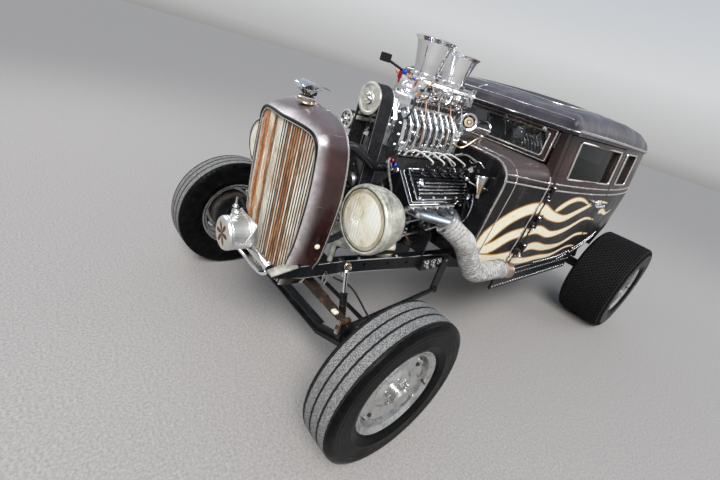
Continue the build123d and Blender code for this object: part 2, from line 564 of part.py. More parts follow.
def shell_form(inset, past=0.0):
    """The shell as a solid: straight behind the vee, rolled outward, then widening to the rear edge."""
    faces = []
    levels = ((SHELL_CUT_Y, 0), (SHELL_EDGE_Y, 0), (SHELL_ROLL_Y, SHELL_ROLL), (SHELL_REAR_Y + past, 1))
    for y, share in levels:
        outline = [(-x, z) for x, z in shell_outline(share, inset)]
        faces.append(Pos(0, y, 0) * (XZ_BACK * make_face(Polyline(*outline, close=True))))
    return loft(faces, ruled=True)


BAR_PITCH, CAP_Y = 16.5, -135.0


def opening(inset):
    """The shell's opening, or the same outline inset, cut from front to back."""
    return across(shell_outline(0, SHELL_T + inset), SHELL_CUT_Y, SHELL_REAR_Y - 50)


def grille():
    """Vee-fronted shell, its bars on two cross rails, and the radiator with cap and ornament."""
    reach = 330.0
    slope = (SHELL_EDGE_Y - SHELL_FRONT_Y) / 250

    def wedge(back):
        side_y = SHELL_FRONT_Y + slope * reach
        plan = [(-reach, side_y), (0, SHELL_FRONT_Y), (reach, side_y), (reach, back), (-reach, back)]
        return extrude(Plane.XY.offset(400) * make_face(Polyline(*plan, close=True)), 900)

    shell = (shell_form(0) & wedge(SHELL_REAR_Y)) - shell_form(SHELL_T, 1.0)
    rail_top = rail_at(SHELL_REAR_Y, 3) + FIT
    for notch in both(box((180, 268), (SHELL_CUT_Y, SHELL_REAR_Y + 1), (440, rail_top))):
        shell = shell - notch
    shell = shell - rod((0, CAP_Y, 1150), (0, CAP_Y, 1260), 26)
    write("grille_shell", shell)
    bars = []
    for i in range(-14, 15):
        x = i * BAR_PITCH
        front = SHELL_FRONT_Y + slope * abs(x)
        half = 5 if i == 0 else 2.5
        bars.append(box((x - half, x + half), (front + 3, front + 22), (400, 1200)))
    for z in (560, 730, 900, 1060):
        for side in (-1, 1):
            end, back = side * 245, SHELL_FRONT_Y + slope * 245
            rail = [(0, SHELL_FRONT_Y + 14), (end, back + 14), (end, back + 20), (0, SHELL_FRONT_Y + 20)]
            bars.append(extrude(Plane.XY.offset(z) * make_face(Polyline(*rail, close=True)), 8))
    grid = bars[0]
    for piece in bars[1:]:
        grid = grid + piece
    write("grille_bars", grid & opening(FIT))
    core = box((-200, 200), (SHELL_REAR_Y - 62, SHELL_REAR_Y - 4), (560, 1120))
    tank = box((-215, 215), (SHELL_REAR_Y - 66, TANK_REAR_Y), (1060, 1142))
    frame_y = SHELL_REAR_Y + FIT
    side_frame = box((-262, 262), (frame_y, frame_y + 18), (rail_at(frame_y + 18, 3) + FIT, 1090))
    neck = lathe((0, CAP_Y, 1140), (0, 0, 1), [
        (0, 0), (0, 22), (94, 22), (94, 34), (116, 34), (124, 12), (138, 8), (138, 0)])
    wings = plate(Plane.XZ.offset(-CAP_Y - 4), mirrored_outline([
        (10, 1254), (58, 1272), (62, 1286), (20, 1262)]), 8)
    write("radiator", core + tank + side_frame + neck + wings)


def lamps():
    """Deep lamp buckets on stalks from the frame, with domed lenses."""
    r, d = LAMP_R, LAMP_DEPTH
    front = LAMP_Y - 16
    outline = [
        (0, r), (14, r + 3), (28, r), (0.45 * d, 0.93 * r), (0.72 * d, 0.72 * r), (0.93 * d, 0.36 * r),
        (d, 0), (d - 6, 0), (0.9 * d - 5, 0.34 * r), (0.69 * d, 0.68 * r), (0.43 * d, 0.88 * r),
        (26, r - 7), (0, r - 7)]
    bucket = lathe((LAMP_X, front, LAMP_Z), (0, 1, 0), outline)
    foot = rail_at(31, 1) - RAIL_W / 2
    top_x = LAMP_X - 10
    stalk = hose([(foot, 18, rail_at(31, 3) + FIT), (foot, 18, 690), (top_x, 18, 740),
                  (top_x, 18, LAMP_Z - 0.9 * r)], 13, [40, 28])
    write("headlamp_buckets", *both(bucket + stalk))
    lens = lathe((LAMP_X, front, LAMP_Z), (0, 1, 0), [
        (-14, 0), (-10, 0.5 * r), (0, r - 7 - FIT), (8, r - 7 - FIT), (8, r - 12), (3, r - 14),
        (-6, 0.5 * r), (-9, 0)])
    write("headlamp_lenses", *both(lens))


def canister():
    """Spun tank on a plate that stands on the spreader bar."""
    length = CANISTER_REAR_Y - CANISTER_FRONT_Y
    r = CANISTER_R
    tank = lathe((CANISTER_X, CANISTER_FRONT_Y, CANISTER_Z), (0, 1, 0), [
        (0, 0), (0, r - 12), (4, r - 4), (12, r), (length, r), (length, 0)])
    back = CANISTER_REAR_Y - 2
    tank = tank + box((CANISTER_X - 85, CANISTER_X + 90), (back, back + 6), (600, 702))
    tank = tank + box((CANISTER_X - 30, CANISTER_X + 50), (back, SPREADER_Y), (SPREADER_Z + SPREADER_R, 620))
    tank = tank + rod((CANISTER_X, -345, CANISTER_Z + r - 4), (CANISTER_X, -345, CANISTER_Z + r + 26), 22)
    write("fuel_canister", tank)


def side_x(y):
    """Half-width of the body at the belt line: one long arc, as its chord and sagitta."""
    y0, x0, y1, x1, bow = 1090.0, 585.0, 2560.0, 602.0, 66.0
    t = (y - y0) / (y1 - y0)
    return x0 + (x1 - x0) * t + 4 * bow * t * (1 - t)


# Body levels: height, and how far the side stands outside the belt line
BODY_LEVELS = [(SILL_Z - 8, -34.0), (780.0, -6.0), (BELT_Z, 0.0), (WINDOW_Z, -12.0), (EAVES_Z + 20, -36.0)]


def body_outline(level_out, inset):
    """Plan of the body behind the windshield at one level: side arc, rear corner arc, rear panel."""
    out = level_out - inset
    front, rear = DOOR_FRONT_Y - 37, BODY_REAR_Y - inset + level_out * 0.5
    a = (side_x(front) + out, front)
    b = (side_x(1825) + out, 1825)
    c = (side_x(2520) + out, 2520)
    d = (490 + out, rear - 46)
    e = (330, rear)
    m = (582 + out, rear - 185)
    half = [ThreePointArc(a, b, c), Line(c, m), ThreePointArc(m, d, e)]
    others = [ThreePointArc((-e[0], e[1]), (-d[0], d[1]), (-m[0], m[1])), Line((-m[0], m[1]), (-c[0], c[1])),
              ThreePointArc((-c[0], c[1]), (-b[0], b[1]), (-a[0], a[1]))]
    return make_face(half + [Line(e, (-e[0], e[1]))] + others + [Line((-a[0], a[1]), a)])


def body_block(inset, lift=0.0):
    """Solid body form up to the eaves, inset all round."""
    faces = []
    last = len(BODY_LEVELS) - 1
    for i, (z, out) in enumerate(BODY_LEVELS):
        shift = -lift if i == 0 else lift if i == last else 0
        faces.append(Plane.XY.offset(z + shift) * body_outline(out, inset))
    return loft(faces, ruled=True)


# Roof ribs from the visor's lip to the back: y, half-width, top of the upright edge, shoulder width, crown
ROOF_RIBS = [
    (982.0, 614.0, 1440.0, 24.0, 1472.0),
    (994.0, 620.0, 1452.0, 34.0, 1496.0),
    (1030.0, 622.0, 1456.0, 60.0, 1512.0),
    (1110.0, 612.0, 1444.0, 100.0, 1530.0),
    (1300.0, 606.0, 1442.0, 115.0, 1556.0),
    (1600.0, 624.0, 1442.0, 115.0, 1572.0),
    (1900.0, 636.0, 1442.0, 115.0, 1575.0),
    (2250.0, 618.0, 1442.0, 115.0, 1562.0),
    (2560.0, 576.0, 1440.0, 110.0, 1530.0),
    (2700.0, 512.0, 1438.0, 100.0, 1498.0),
    (2790.0, 420.0, 1434.0, 80.0, 1464.0),
    (2832.0, 330.0, 1430.0, 60.0, 1440.0),
]
# Half-width of the roof's hollow at each rib from the fourth on, but the last
ROOF_INNER = (540.0, 572.0, 594.0, 606.0, 588.0, 546.0, 482.0, 392.0)


def body():
    """Hollow body cut into cowl, doors, quarter tub and roof, with glass, floor and furniture."""
    shell = body_block(0) - body_block(WALL, 4)
    eaves = EAVES_Z - 10
    low = 500
    wide = 900

    def window(y0, y1, z0=WINDOW_Z, z1=WINDOW_TOP_Z):
        return box((300, wide), (y0, y1), (z0, z1))

    arch = rod((-wide, WHEELBASE - 60, 60), (wide, WHEELBASE - 60, 60), 800)
    arch = arch & box((-wide, wide), (1700, 2640), (0, 862))
    tub = shell & box((-wide, wide), (DOOR_REAR_Y + GAP / 2, 3200), (low, eaves - FIT))
    for side in both(window(QUARTER_FRONT_Y, QUARTER_REAR_Y)):
        tub = tub - side
    tub = tub - box((-260, 260), (2700, 3200), (1210, 1360))
    tub = tub - arch
    front_posts = shell & box((-wide, wide), (900, DOOR_FRONT_Y - GAP / 2), (low, eaves - FIT))
    front_posts = front_posts - box((-515, 515), (900, DOOR_FRONT_Y), (low, eaves + 10))
    door_y = (DOOR_FRONT_Y + GAP / 2, DOOR_REAR_Y - GAP / 2)
    door = shell & box((0, wide), door_y, (SILL_Z + GAP, eaves - GAP))
    door = door - window(DOOR_WINDOW_FRONT_Y, DOOR_WINDOW_REAR_Y)
    pane = body_block(22) - body_block(28, 4)
    door_glass = pane & window(DOOR_WINDOW_FRONT_Y + FIT, DOOR_WINDOW_REAR_Y - FIT,
                               WINDOW_Z + FIT, WINDOW_TOP_Z - FIT)

    hinge_x = side_x(DOOR_FRONT_Y) + HINGE_OUT
    posts = front_posts
    for z in (700.0, 880.0, 1060.0):
        fixed = rod((hinge_x, DOOR_FRONT_Y, z), (hinge_x, DOOR_FRONT_Y, z + 34), HINGE_R)
        fixed = fixed + box((hinge_x - 30, hinge_x), (DOOR_FRONT_Y - 36, DOOR_FRONT_Y - 3), (z, z + 34))
        moving = rod((hinge_x, DOOR_FRONT_Y, z + 34.3), (hinge_x, DOOR_FRONT_Y, z + 68), HINGE_R)
        moving = moving + box((hinge_x - 30, hinge_x), (DOOR_FRONT_Y + 3, DOOR_FRONT_Y + 40),
                              (z + 34.3, z + 68))
        for piece in both(fixed):
            posts = posts + piece
        door = door + moving
    root, y, z = side_x(DOOR_HANDLE_Y), DOOR_HANDLE_Y, DOOR_HANDLE_Z
    handle = rod((root - 12, y, z), (root + 44, y, z), 8)
    handle = handle + rod((root + 40, y - 90, z), (root + 40, y + 10, z), 8)
    door = door + handle
    write("left_door", door)
    write("right_door", mirror(door, Plane.YZ))
    write("left_door_glass", door_glass)
    write("right_door_glass", mirror(door_glass, Plane.YZ))
    write("body_tub", tub)

    def cowl_face(y, half, top, t):
        """The cowl's cross-section: upright sides, rounded shoulders and a gently crowned top."""
        side, crest, corner = half - t, top - t, COWL_CORNER - t
        bend = 0.293 * corner
        low, knee, up = (side - 30, SILL_Z - 8), (side, BELT_Z - 40), (side, crest - corner)
        over = (side - corner, crest)
        edges = [Line(low, knee), Line(knee, up), ThreePointArc(up, (side - bend, crest - bend), over),
                 ThreePointArc(over, (0, crest + COWL_CROWN), (-over[0], over[1])),
                 ThreePointArc((-over[0], over[1]), (bend - side, crest - bend), (-up[0], up[1])),
                 Line((-up[0], up[1]), (-knee[0], knee[1])), Line((-knee[0], knee[1]), (-low[0], low[1])),
                 Line((-low[0], low[1]), low)]
        return Pos(0, y, 0) * (XZ_BACK * make_face(edges))

    rear = DOOR_FRONT_Y - 38

    def cowl_form(t, reach):
        return loft([cowl_face(COWL_Y - reach, COWL_HALF, COWL_TOP_Z - 8, t),
                     cowl_face(rear + reach, side_x(rear), 1232, t)], ruled=True)

    outer, inner = cowl_form(0, 0), cowl_form(SKIN, 1)
    cowl = outer - inner
    cowl = cowl - box((-wide, wide), (700, 1200), (SILL_Z - 60, SILL_Z - 8))
    write("cowl", cowl)
    write("windshield_posts", posts)
    wall = outer & box((-wide, wide), (COWL_Y + 2, COWL_Y + 8), (rail_at(COWL_Y, 3) + FIT, 1300))
    wall = wall & cowl_form(SKIN + FIT, 1)
    wall = wall - rod((0, COWL_Y - 10, CRANK_Z), (0, COWL_Y + 30, CRANK_Z), 196)
    write("firewall", wall)

    ws_y = 1062.0
    frame_out = box((-512, 512), (ws_y + 8, ws_y + 30), (1239.6, 1412))
    frame_in = box((-478, 478), (ws_y, ws_y + 40), (1262, 1390))
    write("windshield_frame", frame_out - frame_in)
    windscreen = box((-478 + FIT, 478 - FIT), (ws_y + 16, ws_y + 21), (1262 + FIT, 1390 - FIT))
    quarter = (pane & window(QUARTER_FRONT_Y + FIT, QUARTER_REAR_Y - FIT, WINDOW_Z + FIT, WINDOW_TOP_Z - FIT))
    back = pane & box((-260 + FIT, 260 - FIT), (2700, 3200), (1210 + FIT, 1360 - FIT))
    write("body_glass", windscreen, *both(quarter), back)

    def rib_face(y, half, edge, shoulder, crown, lower=0.0):
        """A roof section: short upright side, rounded shoulder, crowned top."""
        base, top = eaves - lower, edge + 0.8 * (crown - edge)
        bend = (half - 0.293 * shoulder, edge + 0.707 * (top - edge))
        over = (half - shoulder, top)
        edges = [Line((-half, base), (half, base)), Line((half, base), (half, edge)),
                 ThreePointArc((half, edge), bend, over),
                 ThreePointArc(over, (0, crown), (-over[0], over[1])),
                 ThreePointArc((-over[0], over[1]), (-bend[0], bend[1]), (-half, edge)),
                 Line((-half, edge), (-half, base))]
        return Pos(0, y, 0) * (XZ_BACK * make_face(edges))

    roof = loft([rib_face(*rib) for rib in ROOF_RIBS], ruled=True)
    hollow = [(y, inner, edge - 8, max(shoulder - 20, 20), crown - ROOF_T, 2.0)
              for (y, _, edge, shoulder, crown), inner in zip(ROOF_RIBS[3:-1], ROOF_INNER)]
    roof = roof - loft([rib_face(*rib) for rib in hollow], ruled=True)
    side_view = Plane(origin=(-wide, 0, 0), x_dir=(0, 1, 0), z_dir=(1, 0, 0))
    under = [(900, 1400), (1052, 1400), (1052, 1440), (980, 1431), (900, 1431)]
    roof = roof - extrude(side_view * make_face(Polyline(*under, close=True)), 2 * wide)
    write("roof", roof)

    door_bay = box((-wide, wide), (DOOR_FRONT_Y - 10, DOOR_REAR_Y + 10), (low, EAVES_Z))
    room = cowl_form(SKIN + FIT, 1) + (body_block(WALL + FIT, 4) - door_bay)
    room = room + (body_block(WALL + DOOR_CLEAR, 4) & door_bay)
    rear_floor_z = FLOOR_Z + 180
    floor = box((-wide, wide), (COWL_Y + 12, 2250), (FLOOR_Z, FLOOR_Z + FLOOR_T))
    floor = floor + box((-wide, wide), (2250, 2900), (rear_floor_z, rear_floor_z + FLOOR_T))
    floor = floor + box((-wide, wide), (2250 - FLOOR_T, 2250), (FLOOR_Z, rear_floor_z + FLOOR_T))
    floor = floor & room
    tunnel = gearbox_form(24) & box((-300, 300), (COWL_Y + 12, 1460), (FLOOR_Z, 1000))
    floor = floor + tunnel
    floor = floor - gearbox_form(12)
    tail = Vector(*GEARBOX_AT) + Vector(*GEARBOX_WAY).normalized() * 590
    floor = floor - rod(tail, pinion_nose()[0], 52)
    apron_x, apron_front, apron_rear = 532, 1112, 2290
    for piece in both(box((apron_x, apron_x + 14), (apron_front, apron_rear), (415, FLOOR_Z - 10))):
        floor = floor + piece
    for piece in both(box((490, apron_x + 14), (apron_front, apron_rear), (FLOOR_Z - 24, FLOOR_Z - 10))):
        floor = floor + piece
    for piece in both(box((490, 500), (apron_front, 2250), (FLOOR_Z - 24, FLOOR_Z + 2))):
        floor = floor + piece
    write("floor_pan", floor)


def cabin():
    """Bench seat, dashboard with column, and the steering wheel."""
    base = box((-480, 480), (1560, 2040), (FLOOR_Z + FLOOR_T, 850))
    back = Pos(0, 2050, 850) * Rot(-12, 0, 0) * box((-480, 480), (-60, 60), (-60, 330))
    write("bench_seat", base + back)
    dash = box((-500, 500), (1118, 1180), (1050, 1195))
    dash = dash + (box((-600, 600), (1112, 1132), (1050, 1195)) & body_block(WALL + FIT, 4))
    column = rod((330, 1010, 800), (330, 1420, 1030), 20)
    bracket = box((316, 344), (1130, 1170), (860, 1060))
    write("dashboard", dash + column + bracket)
    way = Vector(0, 410, 230).normalized()
    centre = Vector(330, 1420, 1030) + way * FIT
    ring = Plane(origin=centre + way * 30, z_dir=way) * Torus(175, 12)
    hub = Solid.make_cylinder(34, 42, Plane(origin=centre, z_dir=way))
    wheel_piece = ring + hub
    for angle in (0, 120, 240):
        plane = Plane(origin=centre + way * 30, z_dir=way)
        spoke = plane * Rot(0, 0, angle) * Pos(90, 0, 0) * Box(176, 24, 7)
        wheel_piece = wheel_piece + spoke
    write("steering_wheel", wheel_piece)


wheels()
front_axle()
front_spring()
knuckles()
tie_rod()
frame()
radius_rods()
shocks()
rear_axle()
engine()
blower()
plumbing()
grille()
lamps()
canister()
body()
cabin()
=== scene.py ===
"""Looks of the street rod sedan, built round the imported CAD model.

In the CAD model's frame +X is the car's left, the car faces -Y and +Z is up. The forms are written
in millimetres with Y measured from the front axle, as in the CAD source. Form.piece turns them into
metres and moves them to the frame's origin. Looks, lights and camera are in metres.
"""
import random
from math import atan2, cos, pi, radians, sin, sqrt
import bpy
from mathutils import Matrix, Vector, noise
from mathutils.bvhtree import BVHTree


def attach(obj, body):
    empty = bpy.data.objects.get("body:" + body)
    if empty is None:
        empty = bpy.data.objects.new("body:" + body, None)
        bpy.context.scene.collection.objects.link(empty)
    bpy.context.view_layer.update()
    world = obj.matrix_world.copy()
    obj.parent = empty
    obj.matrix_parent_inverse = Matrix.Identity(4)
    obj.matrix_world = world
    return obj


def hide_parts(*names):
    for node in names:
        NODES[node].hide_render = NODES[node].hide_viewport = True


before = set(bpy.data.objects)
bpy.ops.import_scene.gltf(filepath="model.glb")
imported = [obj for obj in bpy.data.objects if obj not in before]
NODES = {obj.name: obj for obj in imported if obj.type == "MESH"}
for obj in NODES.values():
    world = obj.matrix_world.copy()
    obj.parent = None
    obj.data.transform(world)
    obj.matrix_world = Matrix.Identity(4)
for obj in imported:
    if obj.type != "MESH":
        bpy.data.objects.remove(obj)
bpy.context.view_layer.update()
AXLE_Y = -1.325
MM = 0.001
SIDES = (("left", 1), ("right", -1))
OUT, IN, UP, DOWN, AHEAD, BACK = (1, 0, 0), (-1, 0, 0), (0, 0, 1), (0, 0, -1), (0, -1, 0), (0, 1, 0)
# Radius at which a turned form closes
TIP = 0.1


# Forms

def frame_of(along):
    """Two unit vectors square to a direction and to each other."""
    along = Vector(along).normalized()
    guide = Vector(UP) if abs(along.z) < 0.9 else Vector(BACK)
    side = guide.cross(along).normalized()
    return side, along.cross(side)


def flow(points, steps=8):
    """A smooth line through the points, as more points."""
    points = [Vector(p) for p in points]
    padded = [2 * points[0] - points[1]] + points + [2 * points[-1] - points[-2]]
    line = []
    for a, b, c, d in zip(padded, padded[1:], padded[2:], padded[3:]):
        for i in range(steps):
            t = i / steps
            line.append(0.5 * ((2 * b) + (c - a) * t + (2 * a - 5 * b + 4 * c - d) * t * t
                               + (3 * b - a - 3 * c + d) * t ** 3))
    return line + [points[-1]]


def curve(rows, steps):
    """A smooth profile through (distance, radius) rows."""
    return [(p.x, p.y) for p in flow([(s, r, 0) for s, r in rows], steps)]


def circle(radius, sides, phase=0.0):
    return [(radius * cos(phase + 2 * pi * i / sides), radius * sin(phase + 2 * pi * i / sides))
            for i in range(sides)]


def rounded(u0, u1, v0, v1, corner, steps):
    """A rounded rectangle of (u, v) points, steps to a corner, from its right side round."""
    line = []
    for u, v, start in ((u1 - corner, v1 - corner, 0), (u0 + corner, v1 - corner, 90),
                        (u0 + corner, v0 + corner, 180), (u1 - corner, v0 + corner, 270)):
        for k in range(steps):
            angle = radians(start + 90 * k / (steps - 1))
            line.append((u + corner * cos(angle), v + corner * sin(angle)))
    return line


class Form:
    """Gathers the faces of one piece, each with a material number.

    What is added lies on the car's left, or mirrored on its right while hand is -1.
    """

    def __init__(self, hand=1):
        self.hand = hand
        self.verts, self.faces, self.paints = [], [], []

    def sides(self):
        """Both hands in turn, the right one first."""
        for self.hand in (-1, 1):
            yield self.hand

    def place(self, point):
        return Vector((self.hand * point[0], point[1], point[2]))

    def add(self, verts, faces, paint=0):
        start = len(self.verts)
        self.verts += verts
        self.faces += [tuple(start + i for i in face) for face in faces]
        self.paints += [paint] * len(faces)

    def rings(self, rings, paint=0, caps=True):
        """Skins a row of closed rings that have as many points each."""
        count, rows = len(rings[0]), len(rings)
        faces = []
        for a in range(0, (rows - 1) * count, count):
            for j in range(count):
                k = (j + 1) % count
                faces.append((a + j, a + k, a + count + k, a + count + j))
        if caps:
            faces.append(tuple(range(count))[::-1])
            faces.append(tuple(range((rows - 1) * count, rows * count)))
        self.add([v for ring in rings for v in ring], faces, paint)

    def grid(self, rings, paint_of):
        """Skins a row of closed rings, with each face's paint from its row and column."""
        start = len(self.faces)
        self.rings(rings, 0, caps=False)
        self.paints[start:] = [paint_of(i, j) for i in range(len(rings) - 1) for j in range(len(rings[0]))]

    def prism(self, rings, paint=0):
        """Rings of points on the present hand."""
        self.rings([[self.place(p) for p in ring][::self.hand] for ring in rings], paint)

    def tube(self, points, radius, sides=10, paint=0, section=None):
        """A round bar along points; radius is one number or one for each point."""
        points = [self.place(p) for p in points]
        radii = radius if isinstance(radius, (list, tuple)) else [radius] * len(points)
        across, _ = frame_of(points[1] - points[0])
        rings = []
        for i, point in enumerate(points):
            ahead = (points[min(i + 1, len(points) - 1)] - points[max(i - 1, 0)]).normalized()
            across = (across - ahead * across.dot(ahead)).normalized()
            up = ahead.cross(across)
            rings.append([point + (across * x + up * y) * radii[i] for x, y in section or circle(1.0, sides)])
        self.rings(rings, paint)

    def lathe(self, at, along, profile, steps=48, paint=0, closed=False):
        """Turns (distance along, radius) points; paint is one number or one for each band."""
        at, along = self.place(at), self.place(along).normalized()
        side, up = frame_of(along)
        turns = [side * x + up * y for x, y in circle(1.0, steps)]
        rings = [[at + along * s + turn * r for turn in turns] for s, r in profile]
        faces = [(j, j + steps, (j + 1) % steps + steps, (j + 1) % steps) for j in range(steps)]
        for i in range(len(rings) if closed else len(rings) - 1):
            band = paint[i] if isinstance(paint, (list, tuple)) else paint
            self.add(rings[i] + rings[(i + 1) % len(rings)], faces, band)

    def block(self, low, high, paint=0, bevel=0.0):
        """A box, with its corners cut all round when bevel is given."""
        (x0, x1), (y0, z0), (y1, z1) = sorted((self.hand * low[0], self.hand * high[0])), low[1:], high[1:]
        if not bevel:
            verts = [Vector((x, y, z)) for z in (z0, z1) for y in (y0, y1) for x in (x0, x1)]
            self.add(verts, [(0, 2, 3, 1), (4, 5, 7, 6), (0, 1, 5, 4), (2, 6, 7, 3), (0, 4, 6, 2), (1, 3, 7, 5)],
                     paint)
            return
        rings = []
        for z, cut in ((z0, bevel), (z0 + bevel, 0), (z1 - bevel, 0), (z1, bevel)):
            a0, a1, b0, b1, c = x0 + cut, x1 - cut, y0 + cut, y1 - cut, bevel * 0.6
            rings.append([Vector(p) for p in (
                (a0 + c, b0, z), (a1 - c, b0, z), (a1, b0 + c, z), (a1, b1 - c, z),
                (a1 - c, b1, z), (a0 + c, b1, z), (a0, b1 - c, z), (a0, b0 + c, z))])
        self.rings(rings, paint)

    def bolt(self, at, along, radius, height, paint=0, washer=True):
        """A hexagon head with a washer and a cut end."""
        at, along = self.place(at), self.place(along).normalized()
        side, up = frame_of(along)
        if washer:
            rim = [at + (side * x + up * y) * radius * 1.45 for x, y in circle(1, 12)]
            self.rings([rim, [p + along * height * 0.18 for p in rim]], paint)
        self.rings([[at + along * height * lift + (side * x + up * y) * radius * size for x, y in circle(1, 6)]
                    for lift, size in ((0.1, 1.0), (0.85, 1.0), (1.0, 0.8))], paint)

    def rivet(self, at, radius, height, paint):
        """A domed head that stands outward."""
        self.lathe(at, OUT, [(0, radius), (height * 0.45, radius * 0.9), (height * 0.85, radius * 0.55),
                             (height, radius * 0.02)], 10, paint)

    def mirrored(self):
        """The same form on the car's other side."""
        other = Form()
        other.verts = [Vector((-v.x, v.y, v.z)) for v in self.verts]
        other.faces = [face[::-1] for face in self.faces]
        other.paints = list(self.paints)
        return other

    def on(self, side):
        """This form for the car's left, or its mirror image for the right."""
        return self if side > 0 else self.mirrored()

    def piece(self, name, body, materials, slot, sharp=38.0, replaces=()):
        """Makes the object and hangs it on its body; slot is not used."""
        mesh = bpy.data.meshes.new(name)
        mesh.from_pydata([(v[0] * MM, v[1] * MM + AXLE_Y, v[2] * MM) for v in self.verts], [], self.faces)
        mesh.polygons.foreach_set("material_index", self.paints)
        mesh.polygons.foreach_set("use_smooth", [True] * len(self.faces))
        for material in materials:
            mesh.materials.append(LOOKS[material])
        mesh.validate()
        mesh.update()
        mesh.set_sharp_from_angle(angle=radians(sharp))
        obj = bpy.data.objects.new(name, mesh)
        bpy.context.scene.collection.objects.link(obj)
        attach(obj, body)
        if replaces:
            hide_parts(*replaces)
        return obj


# Materials

def add_node(tree, kind, inputs, output=0, **settings):
    """Adds a shader node with its inputs, values or other nodes' outputs, and returns one output."""
    node = tree.nodes.new("ShaderNode" + kind)
    for key, value in settings.items():
        setattr(node, key, value)
    for key, value in inputs.items():
        if isinstance(value, bpy.types.NodeSocket):
            tree.links.new(value, node.inputs[key])
        else:
            node.inputs[key].default_value = value
    return node.outputs[output]


def add_ramp(tree, source, stops):
    """A colour ramp of (position, colour) stops."""
    ramp = add_node(tree, "ValToRGB", {0: source}).node
    elements = ramp.color_ramp.elements
    while len(elements) < len(stops):
        elements.new(0.5)
    for element, (at, colour) in zip(elements, stops):
        element.position = at
        element.color = (*colour, 1)
    return ramp.outputs[0]


class Look:
    """One procedural material: a principled shader with patterns in the piece's own space."""

    def __init__(self, name, base, rough=0.5, metal=0.0, **more):
        self.material = bpy.data.materials.new(name)
        self.material.use_nodes = True
        self.tree = self.material.node_tree
        self.shader = self.tree.nodes["Principled BSDF"]
        self.material.diffuse_color = (*base, 1)
        self.space = self.node("TexCoord", {}, "Object")
        for key, value in {"Base Color": (*base, 1), "Roughness": rough, "Metallic": metal, **more}.items():
            self.set(key.replace("_", " "), value)
        LOOKS[name] = self.material

    def node(self, kind, inputs, output=0, **settings):
        return add_node(self.tree, kind, inputs, output, **settings)

    def set(self, socket, value):
        self.shader.inputs[socket].default_value = value

    def feed(self, socket, source):
        self.tree.links.new(source, self.shader.inputs[socket])

    def fed(self, socket):
        """What a socket of the shader is linked to."""
        return self.shader.inputs[socket].links[0].from_socket

    def noise(self, scale, detail=4.0, rough=0.55, stretch=None):
        where = self.node("Mapping", {"Scale": stretch, "Vector": self.space}) if stretch else self.space
        inputs = {"Scale": scale, "Detail": detail, "Roughness": rough, "Vector": where}
        return self.node("TexNoise", inputs, "Fac")

    def cells(self, scale):
        return self.node("TexVoronoi", {"Scale": scale, "Vector": self.space}, "Distance")

    def flutes(self):
        """The upright flutes of the lamps' glass."""
        return self.node("TexWave", {"Scale": 20, "Vector": self.space}, "Fac", bands_direction="X")

    def ramp(self, source, *stops):
        return add_ramp(self.tree, source, stops)

    def span(self, source, low, high, out_low=0.0, out_high=1.0):
        return self.node("MapRange", {"Value": source, "From Min": low, "From Max": high,
                                      "To Min": out_low, "To Max": out_high})

    def mix(self, factor, first, second):
        """Blends two colours; a colour is a tuple or a node's output."""
        colours = [(*value, 1) if isinstance(value, tuple) else value for value in (first, second)]
        return self.node("Mix", {0: factor, 6: colours[0], 7: colours[1]}, 2, data_type="RGBA")

    def math(self, kind, first, second=0.0):
        return self.node("Math", {0: first, 1: second}, operation=kind)

    def coordinate(self, axis):
        return self.node("SeparateXYZ", {0: self.space}, axis)

    def upward(self):
        """The height part of the surface's normal."""
        return self.node("SeparateXYZ", {0: self.node("NewGeometry", {}, "Normal")}, "Z")

    def sheen(self, scale, detail, low, high):
        """Uneven roughness between two values."""
        self.feed("Roughness", self.span(self.noise(scale, detail), 0.3, 0.7, low, high))

    def bump(self, source, strength, depth):
        self.feed("Normal", self.node("Bump", {"Strength": strength, "Distance": depth, "Height": source}))


LOOKS = {}


def painted(name, deep, mid, dusty, rough, amount=1.0, lower=None, gloss=0.25, painted_sky_reflection=None):
    """Old paint: broad patches, dust that lies in streaks, fine scratches and chips, and upward faces painted paler as
    a painted reflection of the sky.

    lower is a height and the two tones below it.
    """
    scratch = (0.45, 0.38, 0.32)
    look = Look(name, mid, 0.45)
    patches = look.noise(5.5, 6, 0.6)
    colour = look.ramp(patches, (0.3, deep), (0.52, mid), (0.7, tuple(c * 1.6 for c in mid)))
    if lower:
        edge, deep_low, mid_low = lower
        under = look.ramp(patches, (0.3, deep_low), (0.6, mid_low))
        colour = look.mix(look.span(look.coordinate("Z"), edge - 0.003, edge + 0.003), under, colour)
    streaks = look.span(look.noise(14, 8, 0.7, (1, 1, 0.25)), 0.56, 0.8, 0.0, 0.55 * amount)
    chips = look.math("MULTIPLY", look.span(look.cells(85), 0.085, 0.05), look.span(look.noise(9, 3), 0.55, 0.66))
    lines = look.span(look.noise(60, 3, 0.6, (0.06, 0.06, 2.2)), 0.7, 0.76, 0.0, 0.5 * amount)
    for share, tone in ((streaks, dusty), (look.math("MULTIPLY", chips, 0.7 * amount), scratch), (lines, scratch)):
        colour = look.mix(share, colour, tone)
    # Upward faces are mixed toward a paler tone: a painted reflection of the sky
    if painted_sky_reflection:
        colour = look.mix(look.span(look.upward(), 0.3, 0.95, 0.0, 0.55), colour, painted_sky_reflection)
    look.feed("Base Color", colour)
    look.sheen(9, 7, *rough)
    look.bump(look.noise(120, 3), 0.12, 0.0006)
    look.set("Specular IOR Level", gloss)
    return look


def bright(name, base, rough, grain, tarnish, amount, bumps=0.12):
    """Polished or cast metal with hazy patches and random patches of dirt."""
    look = Look(name, base, 0.2, 1.0)
    dirt = look.span(look.noise(26, 7, 0.7), 0.55, 0.75, 0.0, amount)
    look.feed("Base Color", look.mix(dirt, base, tarnish))
    look.feed("Roughness", look.span(look.noise(11, 6, 0.65), 0.3, 0.7, *rough))
    look.bump(look.noise(grain), bumps, 0.0008)
    return look


